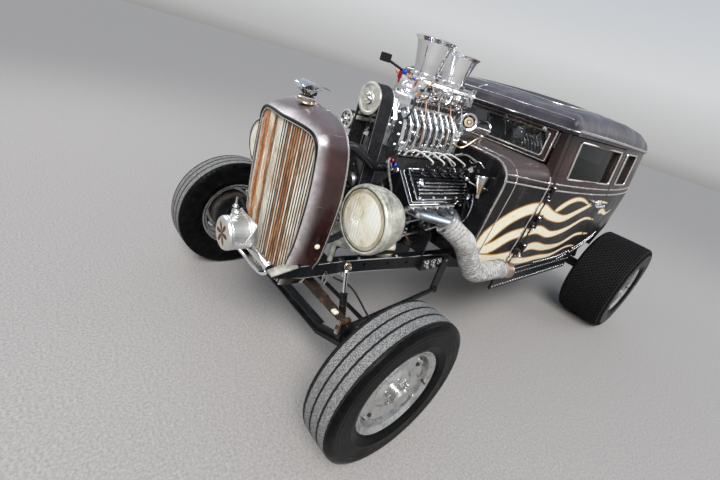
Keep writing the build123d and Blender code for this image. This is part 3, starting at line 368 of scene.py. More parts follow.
def mottled(name, base, rough, metal, pattern, stops, gloss=None, sheen=None, grain=None, cells=None):
    """A look whose colour follows a noise through stops, with fine grain or cells as bumps."""
    look = Look(name, base, rough, metal)
    look.feed("Base Color", look.ramp(look.noise(*pattern), *stops))
    if gloss is not None:
        look.set("Specular IOR Level", gloss)
    if sheen:
        look.sheen(*sheen)
    if grain:
        scale, detail, strength, depth = grain
        look.bump(look.noise(scale, detail), strength, depth)
    if cells:
        scale, strength, depth = cells
        look.bump(look.cells(scale), strength, depth)
    return look


def make_paints():
    """Body, roof and frame paint, and the shell with a painted highlight along its front edge."""
    brown, darkest = (0.04, 0.015, 0.0125), (0.003, 0.003, 0.0035)
    painted("patina_brown", (0.012, 0.005, 0.005), brown, (0.17, 0.12, 0.11), (0.12, 0.34), gloss=0.5)
    # Upward faces of the body get a painted reflection of the sky
    painted("body_two_tone_sky_reflection", (0.012, 0.006, 0.006), (0.036, 0.018, 0.016), (0.12, 0.095, 0.09), (0.18, 0.42),
            lower=(1.13, darkest, (0.011, 0.009, 0.009)), gloss=0.4, painted_sky_reflection=(0.15, 0.125, 0.125))
    painted("door_black", darkest, (0.008, 0.007, 0.007), (0.07, 0.06, 0.055), (0.18, 0.4))
    painted("roof_grey", (0.022, 0.02, 0.027), (0.062, 0.055, 0.07), (0.2, 0.185, 0.2), (0.25, 0.5), 0.9,
            gloss=0.4)
    painted("frame_black", darkest, (0.009, 0.01, 0.011), (0.1, 0.095, 0.09), (0.25, 0.5))
    painted("cover_black", darkest, (0.007, 0.007, 0.008), (0.12, 0.12, 0.12), (0.12, 0.35), 0.5)
    # The shell: patina, a painted sky reflection on top and a painted highlight along its front edge
    shell = painted("patina_shell_with_highlight", (0.012, 0.005, 0.005), brown, (0.2, 0.15, 0.145), (0.12, 0.3), gloss=0.6,
                    painted_sky_reflection=(0.2, 0.175, 0.19))
    # The rolled front edge is painted pale as a highlight, by its distance behind the line of the grille
    slant = shell.math("MULTIPLY", shell.math("ABSOLUTE", shell.coordinate("X")), -0.152)
    depth = shell.math("ADD", shell.math("ADD", shell.coordinate("Y"), 1.553), slant)
    near = shell.span(depth, 0.036, 0.0)
    wear_and_painted_highlight = shell.math("MULTIPLY", shell.math("MULTIPLY", near, near),
                      shell.span(shell.noise(26, 7), 0.3, 0.7, 0.45, 0.85))
    shell.feed("Base Color", shell.mix(wear_and_painted_highlight, shell.fed("Base Color"), (0.66, 0.61, 0.6)))


def make_metals():
    """Polished, cast and turned metal, and the canister's end with its motif."""
    for row in (
            ("polished", (0.93, 0.93, 0.94), (0.08, 0.28), 60.0, (0.09, 0.08, 0.075), 0.6),
            ("cast_aluminium", (0.66, 0.66, 0.66), (0.25, 0.5), 150.0, (0.1, 0.09, 0.08), 0.7, 0.35),
            ("cast_dark", (0.3, 0.29, 0.28), (0.3, 0.55), 120.0, (0.05, 0.045, 0.04), 0.8, 0.3),
            ("spun", (0.95, 0.95, 0.95), (0.1, 0.2), 30.0, (0.5, 0.49, 0.48), 0.25, 0.04),
            ("chrome", (0.88, 0.88, 0.9), (0.04, 0.14), 25.0, (0.5, 0.48, 0.45), 0.15, 0.03),
            ("trim", (0.75, 0.72, 0.68), (0.12, 0.35), 45.0, (0.2, 0.12, 0.08), 0.6, 0.1),
            ("brass", (0.58, 0.43, 0.27), (0.2, 0.4), 60.0, (0.22, 0.12, 0.05), 0.5, 0.15),
            ("copper", (0.5, 0.27, 0.17), (0.25, 0.5), 60.0, (0.2, 0.08, 0.1), 0.7, 0.2),
            ("pipe_tip", (0.5, 0.36, 0.28), (0.25, 0.55), 60.0, (0.12, 0.06, 0.05), 0.85, 0.2),
            ("spun_pale", (0.78, 0.78, 0.76), (0.34, 0.5), 40.0, (0.5, 0.49, 0.46), 0.5, 0.1),
            ("header_steel", (0.45, 0.5, 0.55), (0.25, 0.45), 60.0, (0.5, 0.38, 0.22), 0.5, 0.15),
            ("bolt_steel", (0.6, 0.59, 0.57), (0.2, 0.45), 80.0, (0.16, 0.1, 0.07), 0.65, 0.2)):
        bright(*row)
    silver = Look("rim_silver", (0.6, 0.6, 0.59), 0.28, 0.85)
    silver.feed("Base Color", silver.mix(silver.span(silver.noise(22, 8, 0.7), 0.48, 0.76, 0.0, 0.75),
                                         (0.58, 0.58, 0.57), (0.09, 0.085, 0.08)))
    silver.sheen(8, 5, 0.14, 0.34)
    silver.bump(silver.noise(200, 3), 0.1, 0.0004)
    for name, tone in (("fitting_red", (0.45, 0.02, 0.02)), ("fitting_blue", (0.02, 0.06, 0.4))):
        Look(name, tone, 0.25, 0.8).sheen(40, 4, 0.18, 0.4)

    # The canister's end: a ring of six plain petals about its axis
    axis_x, axis_z, end_y = -0.02, 0.625, -1.7248
    tank = bright("spun_tank", (0.78, 0.78, 0.76), (0.34, 0.5), 40.0, (0.5, 0.49, 0.46), 0.5, 0.1)
    across = tank.math("ADD", tank.coordinate("X"), -axis_x)
    rise = tank.math("ADD", tank.coordinate("Z"), -axis_z)
    square = tank.math("ADD", tank.math("MULTIPLY", across, across), tank.math("MULTIPLY", rise, rise))
    turns = tank.math("MULTIPLY", tank.math("ARCTAN2", rise, across), 3.0)
    lobe = tank.math("ABSOLUTE", tank.math("COSINE", turns))
    petal = tank.math("SUBTRACT", tank.math("MULTIPLY", lobe, 0.058), tank.math("POWER", square, 0.5))
    end = tank.span(tank.coordinate("Y"), end_y + 0.0004, end_y)
    rim_part = tank.math("MULTIPLY", end, tank.span(petal, 0.0, 0.001))
    heart = tank.math("MULTIPLY", end, tank.span(petal, 0.007, 0.008))
    colour = tank.mix(tank.math("MULTIPLY", end, 0.7), tank.fed("Base Color"), (0.8, 0.76, 0.66))
    colour = tank.mix(rim_part, colour, (0.42, 0.21, 0.05))
    tank.feed("Base Color", tank.mix(heart, colour, (0.03, 0.014, 0.01)))
    tank.feed("Metallic", tank.span(rim_part, 0.0, 1.0, 1.0, 0.1))


def make_rubbers():
    """Tyres, belt and hose, and the tape round the headers."""
    def grey(tone):
        return (tone, tone, tone)

    mottled("tread_dusty", (0.16, 0.155, 0.15), 0.85, 0.0, (300, 6, 0.8),
            ((0.4, (0.02, 0.019, 0.018)), (0.5, (0.15, 0.147, 0.143)), (0.6, (0.46, 0.45, 0.44))),
            gloss=0.2, grain=(600, 3, 0.5, 0.0008))
    # Near-black tone for the tyres' grooves and the gauges' ticks, also used as painted shade in the rim's vents, the
    # blower's slots and the pulleys' holes
    mottled("near_black_and_painted_shade", grey(0.008), 0.8, 0.0, (80, 4), ((0.3, grey(0.005)), (0.8, (0.03, 0.029, 0.028))))
    mottled("tyre_wall", grey(0.014), 0.42, 0.0, (24, 7, 0.65),
            ((0.35, grey(0.002)), (0.62, (0.006, 0.0057, 0.0057)), (0.88, (0.03, 0.028, 0.026))),
            gloss=0.06, sheen=(12, 5, 0.2, 0.42), grain=(300, 3, 0.15, 0.0005))
    mottled("slick_tread", grey(0.02), 0.6, 0.0, (150, 6, 0.7),
            ((0.3, grey(0.002)), (0.6, grey(0.007)), (0.78, grey(0.12))), gloss=0.05, grain=(500, 3, 0.3, 0.0006))
    mottled("belt_rubber", (0.02, 0.02, 0.022), 0.55, 0.0, (60, 6),
            ((0.3, (0.006, 0.006, 0.007)), (0.8, (0.035, 0.035, 0.037))), gloss=0.2, grain=(300, 3, 0.2, 0.0005))
    hose = Look("hose_rubber", (0.01, 0.01, 0.012), 0.28)
    hose.set("Specular IOR Level", 0.5)
    hose.sheen(20, 5, 0.12, 0.3)
    hose.bump(hose.noise(200, 3), 0.15, 0.0005)
    wrap = Look("header_wrap", (0.55, 0.53, 0.5), 0.9)
    weave = wrap.noise(240, 5, 0.75)
    soot = wrap.span(wrap.noise(24, 8, 0.75), 0.46, 0.66, 0.0, 0.8)
    threads = wrap.ramp(weave, (0.3, (0.3, 0.29, 0.28)), (0.7, (0.75, 0.73, 0.7)))
    wrap.feed("Base Color", wrap.mix(soot, threads, (0.2, 0.17, 0.15)))
    wrap.bump(weave, 0.6, 0.0015)
    mottled("wrap_seam", (0.2, 0.19, 0.18), 0.95, 0.0, (60, 6),
            ((0.38, (0.07, 0.065, 0.06)), (0.62, (0.4, 0.38, 0.36))))


def make_lamp_looks():
    """Fluted lamp glass, bowls and shells, and the windows."""
    for name, base, rough, pattern, stops, share, groove in (
            ("lamp_lens", (0.8, 0.76, 0.62), 0.16, (7, 6, 0.65),
             ((0.36, (0.5, 0.41, 0.2)), (0.47, (0.84, 0.78, 0.58)), (0.6, (0.98, 0.97, 0.9))), 0.2,
             (0.5, 0.43, 0.28)),
            ("lamp_lens_edge", (0.45, 0.38, 0.24), 0.14, (7, 5),
             ((0.35, (0.36, 0.29, 0.16)), (0.7, (0.66, 0.6, 0.44))), 0.4, (0.24, 0.18, 0.1))):
        lens = Look(name, base, rough, Transmission_Weight=0.35, IOR=1.45)
        lens.feed("Base Color", lens.mix(lens.span(lens.flutes(), 0.0, 0.35, share, 0.0),
                                         lens.ramp(lens.noise(*pattern), *stops), groove))
        if name == "lamp_lens":
            lens.bump(lens.flutes(), 0.3, 0.001)
    mottled("lamp_bowl", (0.8, 0.74, 0.56), 0.3, 0.3, (12, 6),
            ((0.35, (0.6, 0.5, 0.32)), (0.7, (0.88, 0.84, 0.7))))
    mottled("lamp_shell", (0.5, 0.49, 0.42), 0.4, 0.25, (14, 8, 0.7),
            ((0.34, (0.2, 0.19, 0.15)), (0.52, (0.5, 0.49, 0.42)), (0.72, (0.74, 0.73, 0.66))),
            grain=(90, 4, 0.2, 0.0006))
    for name, tone, index in (("window_glass", 0.17, 1.2), ("screen_glass", 0.3, 1.8)):
        glass = Look(name, (tone, tone * 1.05, tone * 1.05), 0.02, Transmission_Weight=0.95, IOR=index)
        glass.feed("Roughness", glass.span(glass.noise(16, 5), 0.5, 0.8, 0.0, 0.05))


def make_other_looks():
    """Rust, hide, painted art, grille bars and small parts."""
    mottled("roof_insert", (0.025, 0.022, 0.026), 0.75, 0.0, (7, 6),
            ((0.3, (0.012, 0.011, 0.013)), (0.75, (0.06, 0.055, 0.062))), cells=(420, 0.35, 0.0008))
    mottled("rusty_iron", (0.18, 0.09, 0.05), 0.85, 0.3, (18, 8, 0.7),
            ((0.3, (0.012, 0.01, 0.009)), (0.54, (0.05, 0.026, 0.017)), (0.68, (0.22, 0.1, 0.045)),
             (0.82, (0.36, 0.29, 0.24))), grain=(90, 5, 0.5, 0.0012))
    mottled("seat_hide", (0.14, 0.09, 0.06), 0.5, 0.0, (16, 6),
            ((0.3, (0.09, 0.055, 0.035)), (0.7, (0.2, 0.13, 0.085))), cells=(260, 0.3, 0.0008))
    for name, tone in (("art_cream", (0.8, 0.74, 0.58)), ("art_gold", (0.46, 0.24, 0.06)),
                       ("art_brown", (0.035, 0.016, 0.01))):
        look = Look(name, tone, 0.45)
        wear_and_painted_highlight = look.span(look.noise(40, 8, 0.75), 0.55, 0.75, 0.0, 0.7)
        look.feed("Base Color", look.mix(wear_and_painted_highlight, tone, tuple(c * 0.45 for c in tone)))
        look.sheen(20, 5, 0.35, 0.6)
    for name, deep, mid, high, share in (
            ("bar_cream", (0.42, 0.34, 0.22), (0.7, 0.65, 0.52), (0.92, 0.9, 0.82), 0.5),
            ("bar_rust", (0.2, 0.06, 0.02), (0.5, 0.18, 0.055), (0.76, 0.62, 0.44), 0.6),
            # Dark tone for the bars' sides and backs: painted shade
            ("bar_painted_shade", (0.03, 0.024, 0.018), (0.085, 0.07, 0.052), (0.18, 0.13, 0.09), 0.4),
            ("bar_grey", (0.34, 0.33, 0.27), (0.58, 0.59, 0.53), (0.85, 0.86, 0.8), 0.3),
            ("bar_dark", (0.05, 0.024, 0.014), (0.2, 0.09, 0.045), (0.6, 0.42, 0.25), 0.5)):
        look = Look(name, mid, 0.5, 0.15)
        plain = look.ramp(look.noise(1.0, 7, 0.7, (60, 20, 9)), (0.3, deep), (0.48, mid), (0.68, high))
        blotch = look.span(look.noise(1.0, 8, 0.72, (16, 12, 7)), 0.47, 0.57, 0.0, share)
        rust = look.ramp(look.noise(1.0, 6, 0.7, (90, 40, 26)), (0.34, (0.09, 0.03, 0.012)),
                         (0.52, (0.38, 0.14, 0.04)), (0.7, (0.6, 0.42, 0.24)))
        look.feed("Base Color", look.mix(blotch, plain, rust))
        look.feed("Roughness", look.span(look.noise(1.0, 5, 0.55, (30, 12, 3)), 0.3, 0.7, 0.75, 0.34))
        look.bump(look.noise(200), 0.3, 0.0006)
    for name, base, low, high, rough, metal, scale in (
            ("drum_iron", (0.1, 0.085, 0.075), (0.03, 0.024, 0.02), (0.22, 0.16, 0.11), 0.6, 0.5, 28),
            ("pulley_cream", (0.72, 0.7, 0.62), (0.42, 0.4, 0.34), (0.84, 0.82, 0.76), 0.34, 0.5, 28),
            ("belt_edge", (0.36, 0.38, 0.4), (0.12, 0.12, 0.13), (0.55, 0.57, 0.6), 0.4, 0.5, 28),
            ("plug_lead", (0.62, 0.6, 0.56), (0.3, 0.28, 0.26), (0.8, 0.79, 0.76), 0.35, 0.0, 28),
            ("braided", (0.36, 0.35, 0.33), (0.1, 0.1, 0.1), (0.6, 0.6, 0.58), 0.4, 0.5, 90),
            ("lamp_red", (0.32, 0.015, 0.01), (0.2, 0.008, 0.006), (0.42, 0.025, 0.018), 0.15, 0.0, 28)):
        mottled(name, base, rough, metal, (scale, 7, 0.7), ((0.32, low), (0.52, base), (0.74, high)),
                grain=(300, 3, 0.2, 0.0005))


# Camera, light and floor

def link(name, data):
    """An object of its own in the scene."""
    obj = bpy.data.objects.new(name, data)
    bpy.context.scene.collection.objects.link(obj)
    return obj


def set_camera():
    """The camera as it was fitted to the photograph."""
    yaw, pitch, roll = radians(-43.06), radians(-24.45), radians(17.77)
    focal_share = 384.83 / 720
    ahead = Vector((sin(yaw) * cos(pitch), cos(yaw) * cos(pitch), sin(pitch)))
    right = Vector((cos(yaw), -sin(yaw), 0))
    up = right.cross(ahead)
    camera = bpy.data.cameras.new("camera")
    camera.sensor_width = 36
    camera.lens = camera.sensor_width * focal_share
    camera.clip_start = 0.02
    view = link("camera", camera)
    place = Matrix((right * cos(roll) + up * sin(roll), up * cos(roll) - right * sin(roll), -ahead))
    place = place.transposed().to_4x4()
    place.translation = Vector((1.3995, -2.3928, 1.4574))
    view.matrix_world = place
    bpy.context.scene.camera = view


def set_stage():
    """A pale floor, a sky above it and soft light."""
    ground = Look("floor_pale", (0.44, 0.42, 0.4), 0.85)
    ground.feed("Base Color", ground.ramp(ground.noise(90, 8, 0.75), (0.34, (0.27, 0.25, 0.235)),
                                          (0.66, (0.46, 0.43, 0.405))))
    reach = 40
    mesh = bpy.data.meshes.new("floor")
    mesh.from_pydata([(-reach, -reach, 0), (reach, -reach, 0), (reach, reach, 0), (-reach, reach, 0)], [],
                     [(0, 1, 2, 3)])
    mesh.materials.append(ground.material)
    link("floor", mesh)

    world = bpy.data.worlds.new("world")
    world.use_nodes = True
    bpy.context.scene.world = world
    tree = world.node_tree
    height = add_node(tree, "SeparateXYZ", {0: add_node(tree, "TexCoord", {}, "Generated")}, "Z")
    share = add_node(tree, "Math", {0: height, 1: 0.5, 2: 0.5}, operation="MULTIPLY_ADD")
    sky = add_ramp(tree, share, ((0.0, (0.2, 0.19, 0.18)), (0.47, (0.3, 0.29, 0.28)), (0.5, (0.66, 0.66, 0.66)),
                                 (0.56, (0.93, 0.94, 0.95)), (0.72, (0.62, 0.7, 0.8)), (1.0, (0.42, 0.52, 0.68))))
    back = tree.nodes["Background"]
    tree.links.new(sky, back.inputs["Color"])
    back.inputs["Strength"].default_value = 0.7

    middle = Vector((0, 0, 0.7))
    for index, (kind, at, power, size) in enumerate((
            ("SUN", (3.0, -3.0, 6.0), 2.0, radians(30)), ("AREA", (3.5, -4.5, 4.5), 170, 2.0),
            ("AREA", (-4.5, -2.5, 4.0), 80, 2.5), ("AREA", (4.0, 4.5, 4.5), 80, 3.0))):
        light = bpy.data.lights.new(f"lamp_{index}", kind)
        light.energy = power
        setattr(light, "angle" if kind == "SUN" else "size", size)
        lamp = link(f"lamp_{index}", light)
        lamp.location = at
        lamp.rotation_euler = (middle - Vector(at)).to_track_quat("-Z", "Y").to_euler()
    bpy.context.scene.view_settings.view_transform = "Standard"


# Wheels

def zigzag(turn, count):
    """A triangle wave between -1 and 1, count times round the turn."""
    return 4 * abs((turn * count) % 1.0 - 0.5) - 1


def make_tyre(name, side, y, x, radius, half, bead, slick):
    """A tyre with its tread and ribbed walls, as a row of profiles round the axle."""
    shoulder, edge = radius - 0.1 * half - 6, half * 0.99
    wall = [(bead, 193), (bead + 2, 205)] + curve((
        (half * 0.86, 216.5), (half * 0.93, 233), (half * 0.985, 252), (half, 281), (half * 0.998, shoulder - 36),
        (half * 0.99, shoulder - 20)), 5)
    # Ridges that stand on the wall
    wall = [(min(a, half - 1.3) + (1.2 if 243 < r < 249 or 296 < r < 300 else 0), r) for a, r in wall]
    if slick:
        grooves = [edge * (2 * i / 22 - 1) for i in range(1, 22)]
        crown = [-edge] + [line + step for line in grooves for step in (-3.4, -1.9, 1.9, 3.4)] + [edge]
    else:
        grooves = (-66, -22, 22, 66)
        crown = [-edge, -83, -77]
        for line in grooves:
            crown += [line - 4.8, line - 2.8, line + 2.8, line + 4.8, line + 22]
        crown[-1:] = [77, 83, edge]
    tread = []
    for a in crown:
        share = abs(a) / edge
        fall = (radius - shoulder + 10) * max(0.0, (share - 0.84) / 0.16) ** 1.8
        tread.append((a, radius - 4 * share ** 2 - fall))
    profile = [(-a, r) for a, r in wall] + tread + wall[::-1]
    first, last, width = len(wall), len(wall) + len(tread), len(profile)

    def cut(i, a, k, turn):
        """How far a point of the tread is shifted across and sunk."""
        if slick and first < i < last - 1:
            # Grooves zigzag in turn to one side and the other, which leaves diamonds
            number = (i - first - 1) // 4
            deep = 5.2 if abs(a - grooves[number]) < 2 else 1.6 if k % 3 == number % 3 else 0.0
            return 3.6 * zigzag(turn, 80) * (-1) ** number, deep
        if slick or not first <= i < last:
            return 0.0, 0.0
        off = min(abs(a - line) for line in grooves)
        return 0.9 * zigzag(turn, 64) if off < 6 else 0.0, 8.5 if off < 4 else 0.0

    form = Form()
    steps = 480 if slick else 192
    for k in range(steps):
        turn = k / steps
        c, s = cos(2 * pi * turn), sin(2 * pi * turn)
        for i, (a, r) in enumerate(profile):
            shift, deep = cut(i, a, k, turn)
            form.verts.append((side * (x + a + shift), y + (r - deep) * c, radius + (r - deep) * s))
    for i in range(width - 1):
        paint = 3
        if first - 1 <= i < last:
            a = (profile[i][0] + profile[i + 1][0]) / 2
            deep = min(abs(a - line) for line in grooves) < (2.9 if slick else 4.5)
            paint = 1 if deep else 2 if slick else 3 if abs(a) > 68 else 0
        for k in range(steps):
            a, b = k * width + i, (k + 1) % steps * width + i
            form.faces.append((a, b, b + 1, a + 1)[::side])
            form.paints.append(paint)
    form.piece(f"{name}_tread", f"{name}_wheel", ("tread_dusty", "near_black_and_painted_shade", "slick_tread", "tyre_wall"),
               "tyre_rubber", 25 if slick else 42, (f"{name}_tyre",))


def make_rim(name, side, y, x, radius, disc, hub, half):
    """Nuts, hub cap, hooded vents, valve, inner ridges and brake drum of one wheel."""
    form = Form()
    face = x + disc
    for c, s in circle(58, 5, 0.4):
        form.lathe((face + 13.5, y + c, radius + s), OUT, [(0, 13.5), (3, 13.5), (4, 11)], 16, 1)
        form.bolt((face + 15.5, y + c, radius + s), OUT, 9.5, 17, 1, washer=False)
    form.lathe((x + hub - 30, y, radius), OUT, [
        (0, 38.5), (6, 40.5), (20, 40), (29.5, 32.5), (32.5, 24), (31, 12), (33.5, TIP)], 32, 1)

    def spot(lift, reach, angle):
        return Vector((face + lift, y + reach * cos(angle), radius + reach * sin(angle)))

    # Hoods stand over the slots like pressed scoops
    for i in range(4):
        middle = pi / 4 + i * pi / 2
        rings = []
        for k in range(13):
            t = k / 12
            rise = sin(pi * t) ** 0.55
            rings.append([spot(6.8 + lift, reach, middle + (t - 0.5) * 0.36) for lift, reach in (
                (-1.5, 147.5), (9 * rise, 149), (12.5 * rise, 153.5), (10.5 * rise, 158.5), (7.5 * rise, 158),
                (-1.5, 155))])
        form.rings(rings, 0)
        # Near-black patches under the hoods: painted shade in the vent openings
        vent_shade = []
        for k in range(9):
            t = k / 8 - 0.5
            vent_shade += [spot(7.4, reach, middle + t * 0.3) for reach in (126.5 + 12 * (2 * abs(t)) ** 2, 147.8)]
        form.add(vent_shade, [(2 * k, 2 * k + 2, 2 * k + 3, 2 * k + 1) for k in range(8)], 2)
    # Rolled edges and ridges of the well, on the outer and on the inner side
    for a, r, thick in ((half, 205.5, 4), (half - 12, 183.5, 3), (-half, 205.5, 4), (-half + 13, 183.5, 3),
                        (disc - 12, 181.5, 2.2)):
        form.lathe((x + a, y, radius), OUT, [(-thick * 0.6, r - thick * 0.7), (0, r - thick), (thick * 0.5, r),
                                             (0, r + thick), (-thick * 0.6, r + thick * 0.7)], 72, 0, closed=True)
    form.tube([(x + half - 20, y + 176, radius - 20), (x + half + 4, y + 170, radius - 20)], [4.5, 3.5], 10, 2)
    inner = 724 if "front" in name else 640
    deep = x + disc - 9 - inner
    fins = []
    for k in range(9):
        at = 4 + (deep - 16) * k / 8
        fins += [(at, 130.6), (at + 1, 134.5), (at + 3, 134.5), (at + 4, 130.6)]
    form.lathe((inner, y, radius), OUT, [(-1, 121), (-2, 134.5)] + fins + [(deep + 2, 129.6)], 72, 3)
    # Raised lands inside the well, between the drum and the rim
    for c, s in circle(1, 24):
        along, around = Vector((0, c, s)), Vector((0, -s, c))
        middle = Vector((x - half + 30, y, radius)) + along * 179.5
        foot = [middle + around * 14 * u + Vector((11 * v, 0, 0)) for u, v in ((-1, -1), (1, -1), (1, 1), (-1, 1))]
        form.rings([[p + along * 1.5 for p in foot], [middle + (p - middle) * 0.8 - along * 2 for p in foot]], 0)
    form.on(side).piece(f"{name}_rim_detail", f"{name}_wheel",
                        ("rim_silver", "bolt_steel", "near_black_and_painted_shade", "drum_iron"), "rim_silver")


def make_wheels():
    for side_name, side in SIDES:
        for place, y, x, radius, half, bead, disc, hub, rim_half in (
                ("front", 0, 781.5, 350, 89, 55.7, 36, 92, 68),
                ("rear", 2670, 783, 380, 183, 149.7, 70, 120, 162)):
            name = f"{side_name}_{place}"
            make_tyre(name, side, y, x, radius, half, bead, place == "rear")
            make_rim(name, side, y, x, radius, disc, hub, rim_half)


# Grille, lamps and nose

# Outlines of the shell's front and rear edge, each as x and z, from its foot to its crown
SHELL = ((190, 456, 196, 452), (214, 592, 262, 592), (236, 690, 287, 660), (250, 860, 313, 875),
         (250, 990, 310, 998), (240, 1092, 291, 1096), (222, 1138, 267, 1148), (186, 1162, 218, 1199),
         (110, 1170, 137, 1226), (0, 1172, 0, 1234))


def shell_line(share, inset, y_of):
    """The shell's outline from the left foot over the crown to the right foot, as points in space."""
    half = []
    for x0, z0, x1, z1 in SHELL:
        x, z = x0 + (x1 - x0) * share, z0 + (z1 - z0) * share
        half.append((x * (1 - inset / 300), 850 + (z - 850) * (1 - inset / 370)))
    return flow([(x, y_of(x), z) for x, z in half + [(-x, z) for x, z in half[-2::-1]]], 6)


def vee(x):
    """How far forward the grille stands at x."""
    return -228 + 0.152 * abs(x)


def make_grille():
    """Fluted bars in their frame, and the shell with its beads and button."""
    rng = random.Random(4)
    bars = Form()
    # Share of the width from the car's right, then the tones that mix there
    zones = ((0.04, (2, 1)), (0.17, (1, 1, 3)), (0.29, (0, 0, 1)), (0.38, (1, 3)), (0.56, (2, 0)), (0.65, (2, 3)),
             (0.72, (1, 3)), (0.77, (0, 1)), (0.81, (3,)), (0.97, (2, 2, 0, 3)), (1.0, (0,)))
    opening = [(x, z) for x, _, z in shell_line(0, 12.5, lambda x: 0)]

    def limits(x):
        """The lowest and highest point of the opening at x."""
        low, high = 460, 1160
        for (x0, z0), (x1, z1) in zip(opening, opening[1:]):
            if (x0 - x) * (x1 - x) <= 0 and abs(x1 - x0) > 0.001:
                z = z0 + (z1 - z0) * (x - x0) / (x1 - x0)
                low, high = (low, min(high, z)) if z > 900 else (max(low, z), high)
        return low + 2, high - 2

    pitch = 15.1
    for i in range(-15, 16):
        x = i * pitch
        low, high = limits(x)
        if high - low < 100:
            continue
        half = 6 if i == 0 else 4.3
        tone = rng.choice(next(tones for edge, tones in zones if (i + 15) / 30 <= edge))
        section = [(-half, 13), (-half, 2.2), (-half * 0.5, 0), (half * 0.5, 0), (half, 2.2), (half, 13)]
        bars.rings([[Vector((x + a, vee(x) + 3 + b, z)) for a, b in section]
                    for z in (low, (low + high) / 2, high)],
                   tone)
        # The bars' sides and backs take a dark tone: painted shade
        for face in (0, 4, 5, 6, 10, 11):
            bars.paints[face - 14] = 5
    for z in (560, 730, 900, 1060):
        for side in (-1, 1):
            bars.rings([[Vector((side * r, vee(r) + b, z + c)) for b, c in ((14, 0), (21, 0), (21, 8), (14, 8))]
                        for r in (0, 236 if z > 600 else 200)], 4)
    back = [(x, vee(x) + 30, z) for x in (-230, 0, 230) for z in limits(x)]
    bars.add(back, [(0, 2, 3, 1), (2, 4, 5, 3)], 4)
    bars.piece("grille_slats", "chassis", (
        "bar_cream", "bar_rust", "bar_grey", "bar_dark", "frame_black", "bar_painted_shade"),
               "rusty_bars", 30, ("grille_bars",))

    # The shell as one smooth rolled skin: share from front to rear outline, inset, and share of depth
    section = [(0.0, 13.5, 0.02), (0.0, 12, -0.012), (0.0, 6, -0.03), (0.02, 1.5, -0.02)]
    for t in (0.08, 0.17, 0.28, 0.4, 0.52, 0.64, 0.76, 0.87, 0.95, 1.0):
        section.append((t + 0.16 * sin(pi * t), 0.0, t - 0.1 * sin(pi * t)))
    section += [(1.0, 4, 1.0), (0.7, 6, 0.72), (0.3, 9, 0.34)]
    rear = -81.5
    lines = [shell_line(share, inset, lambda x, deep=deep: vee(x) + (rear - vee(x)) * deep)
             for share, inset, deep in section]
    skin = Form()
    skin.rings(list(zip(*lines)), 0)
    skin.piece("shell_skin", "chassis", ("patina_shell_with_highlight",), "patina_paint", 50, ("grille_shell",))

    trim = Form()
    trim.tube(shell_line(0, 14.5, lambda x: vee(x) - 3.5), 3.4, 8, 0)
    trim.tube(shell_line(0.985, -1, lambda x: rear - 2), 4.2, 8, 0)
    trim.tube(shell_line(0.84, -0.8, lambda x: rear - 12), 1.6, 6, 0)
    for profile, paint in (
            ([(0, 11.5), (4, 11.5), (7.5, 8), (8.5, TIP)], 1), ([(0, 13.5), (3, 13), (3.5, 11)], 0)):
        trim.lathe((286.5, -118, 706), (0.93, -0.36, 0.02), profile, 20, paint)
    trim.piece("shell_trim", "chassis", ("trim", "art_cream"), "chrome")

    dark = Form()
    line = shell_line(0, 5.5, lambda x: vee(x) - 4.5)
    dark.tube(line, [2.4 + 4.6 * min(1, max(0, (p.z - 1060) / 60)) for p in line], 8, 0)
    dark.piece("shell_lip", "chassis", ("door_black",), "patina_paint")


def make_cap():
    """The filler cap and a plain bird: head and beak ahead, tail behind, feathered wings half raised."""
    cap = Form()
    cap.lathe((0, -135, 1228), UP, [(0, 35.5), (4, 37), (8, 35.5), (12, 35.5), (14, 38), (22, 38), (24.5, 35),
                                    (28, 34.5), (30, 20), (36, 14)], 40, [1, 1, 0, 1, 1, 0, 0, 1, 1])
    body = flow([(0, -205, 1302), (0, -192, 1300), (0, -176, 1292), (0, -150, 1282), (0, -118, 1279),
                 (0, -74, 1292)], 5)
    cap.tube(body, [1.8, 4.5, 7.5, 9.2, 9.6, 8.2, 8.5, 10, 11.8, 13, 13.8, 13.8, 13.2, 12.4, 11.4, 10.2, 9, 7.8,
                    6.8, 6, 5.6, 5.2, 5, 4.8, 4.6, 4], 12, 0)
    cap.tube([(0, -135, 1256), (0, -135, 1276)], [12, 9], 14, 0)
    across, up = Vector((0, 1, 0.1)).normalized(), Vector(UP)
    for side in (-1, 1):
        for k in range(8):
            t = k / 7
            root = Vector((side * 9, -168 + 50 * t, 1285))
            tip = Vector((side * (86 - 30 * t), -112 + 50 * t, 1312 - 10 * t))
            line = flow([root, (root + tip) / 2 + Vector((0, -8, 9)), tip], 5)
            rings = []
            for n, p in enumerate(line):
                u = n / (len(line) - 1)
                w, h = 8.5 * (1 - 0.75 * u ** 2), 3 * (1 - 0.6 * u)
                rings.append([p - across * w, p + up * h, p + across * w, p - up * h])
            cap.rings(rings, 0)
    cap.piece("cap_bird", "chassis", ("chrome", "brass"), "chrome", 50)


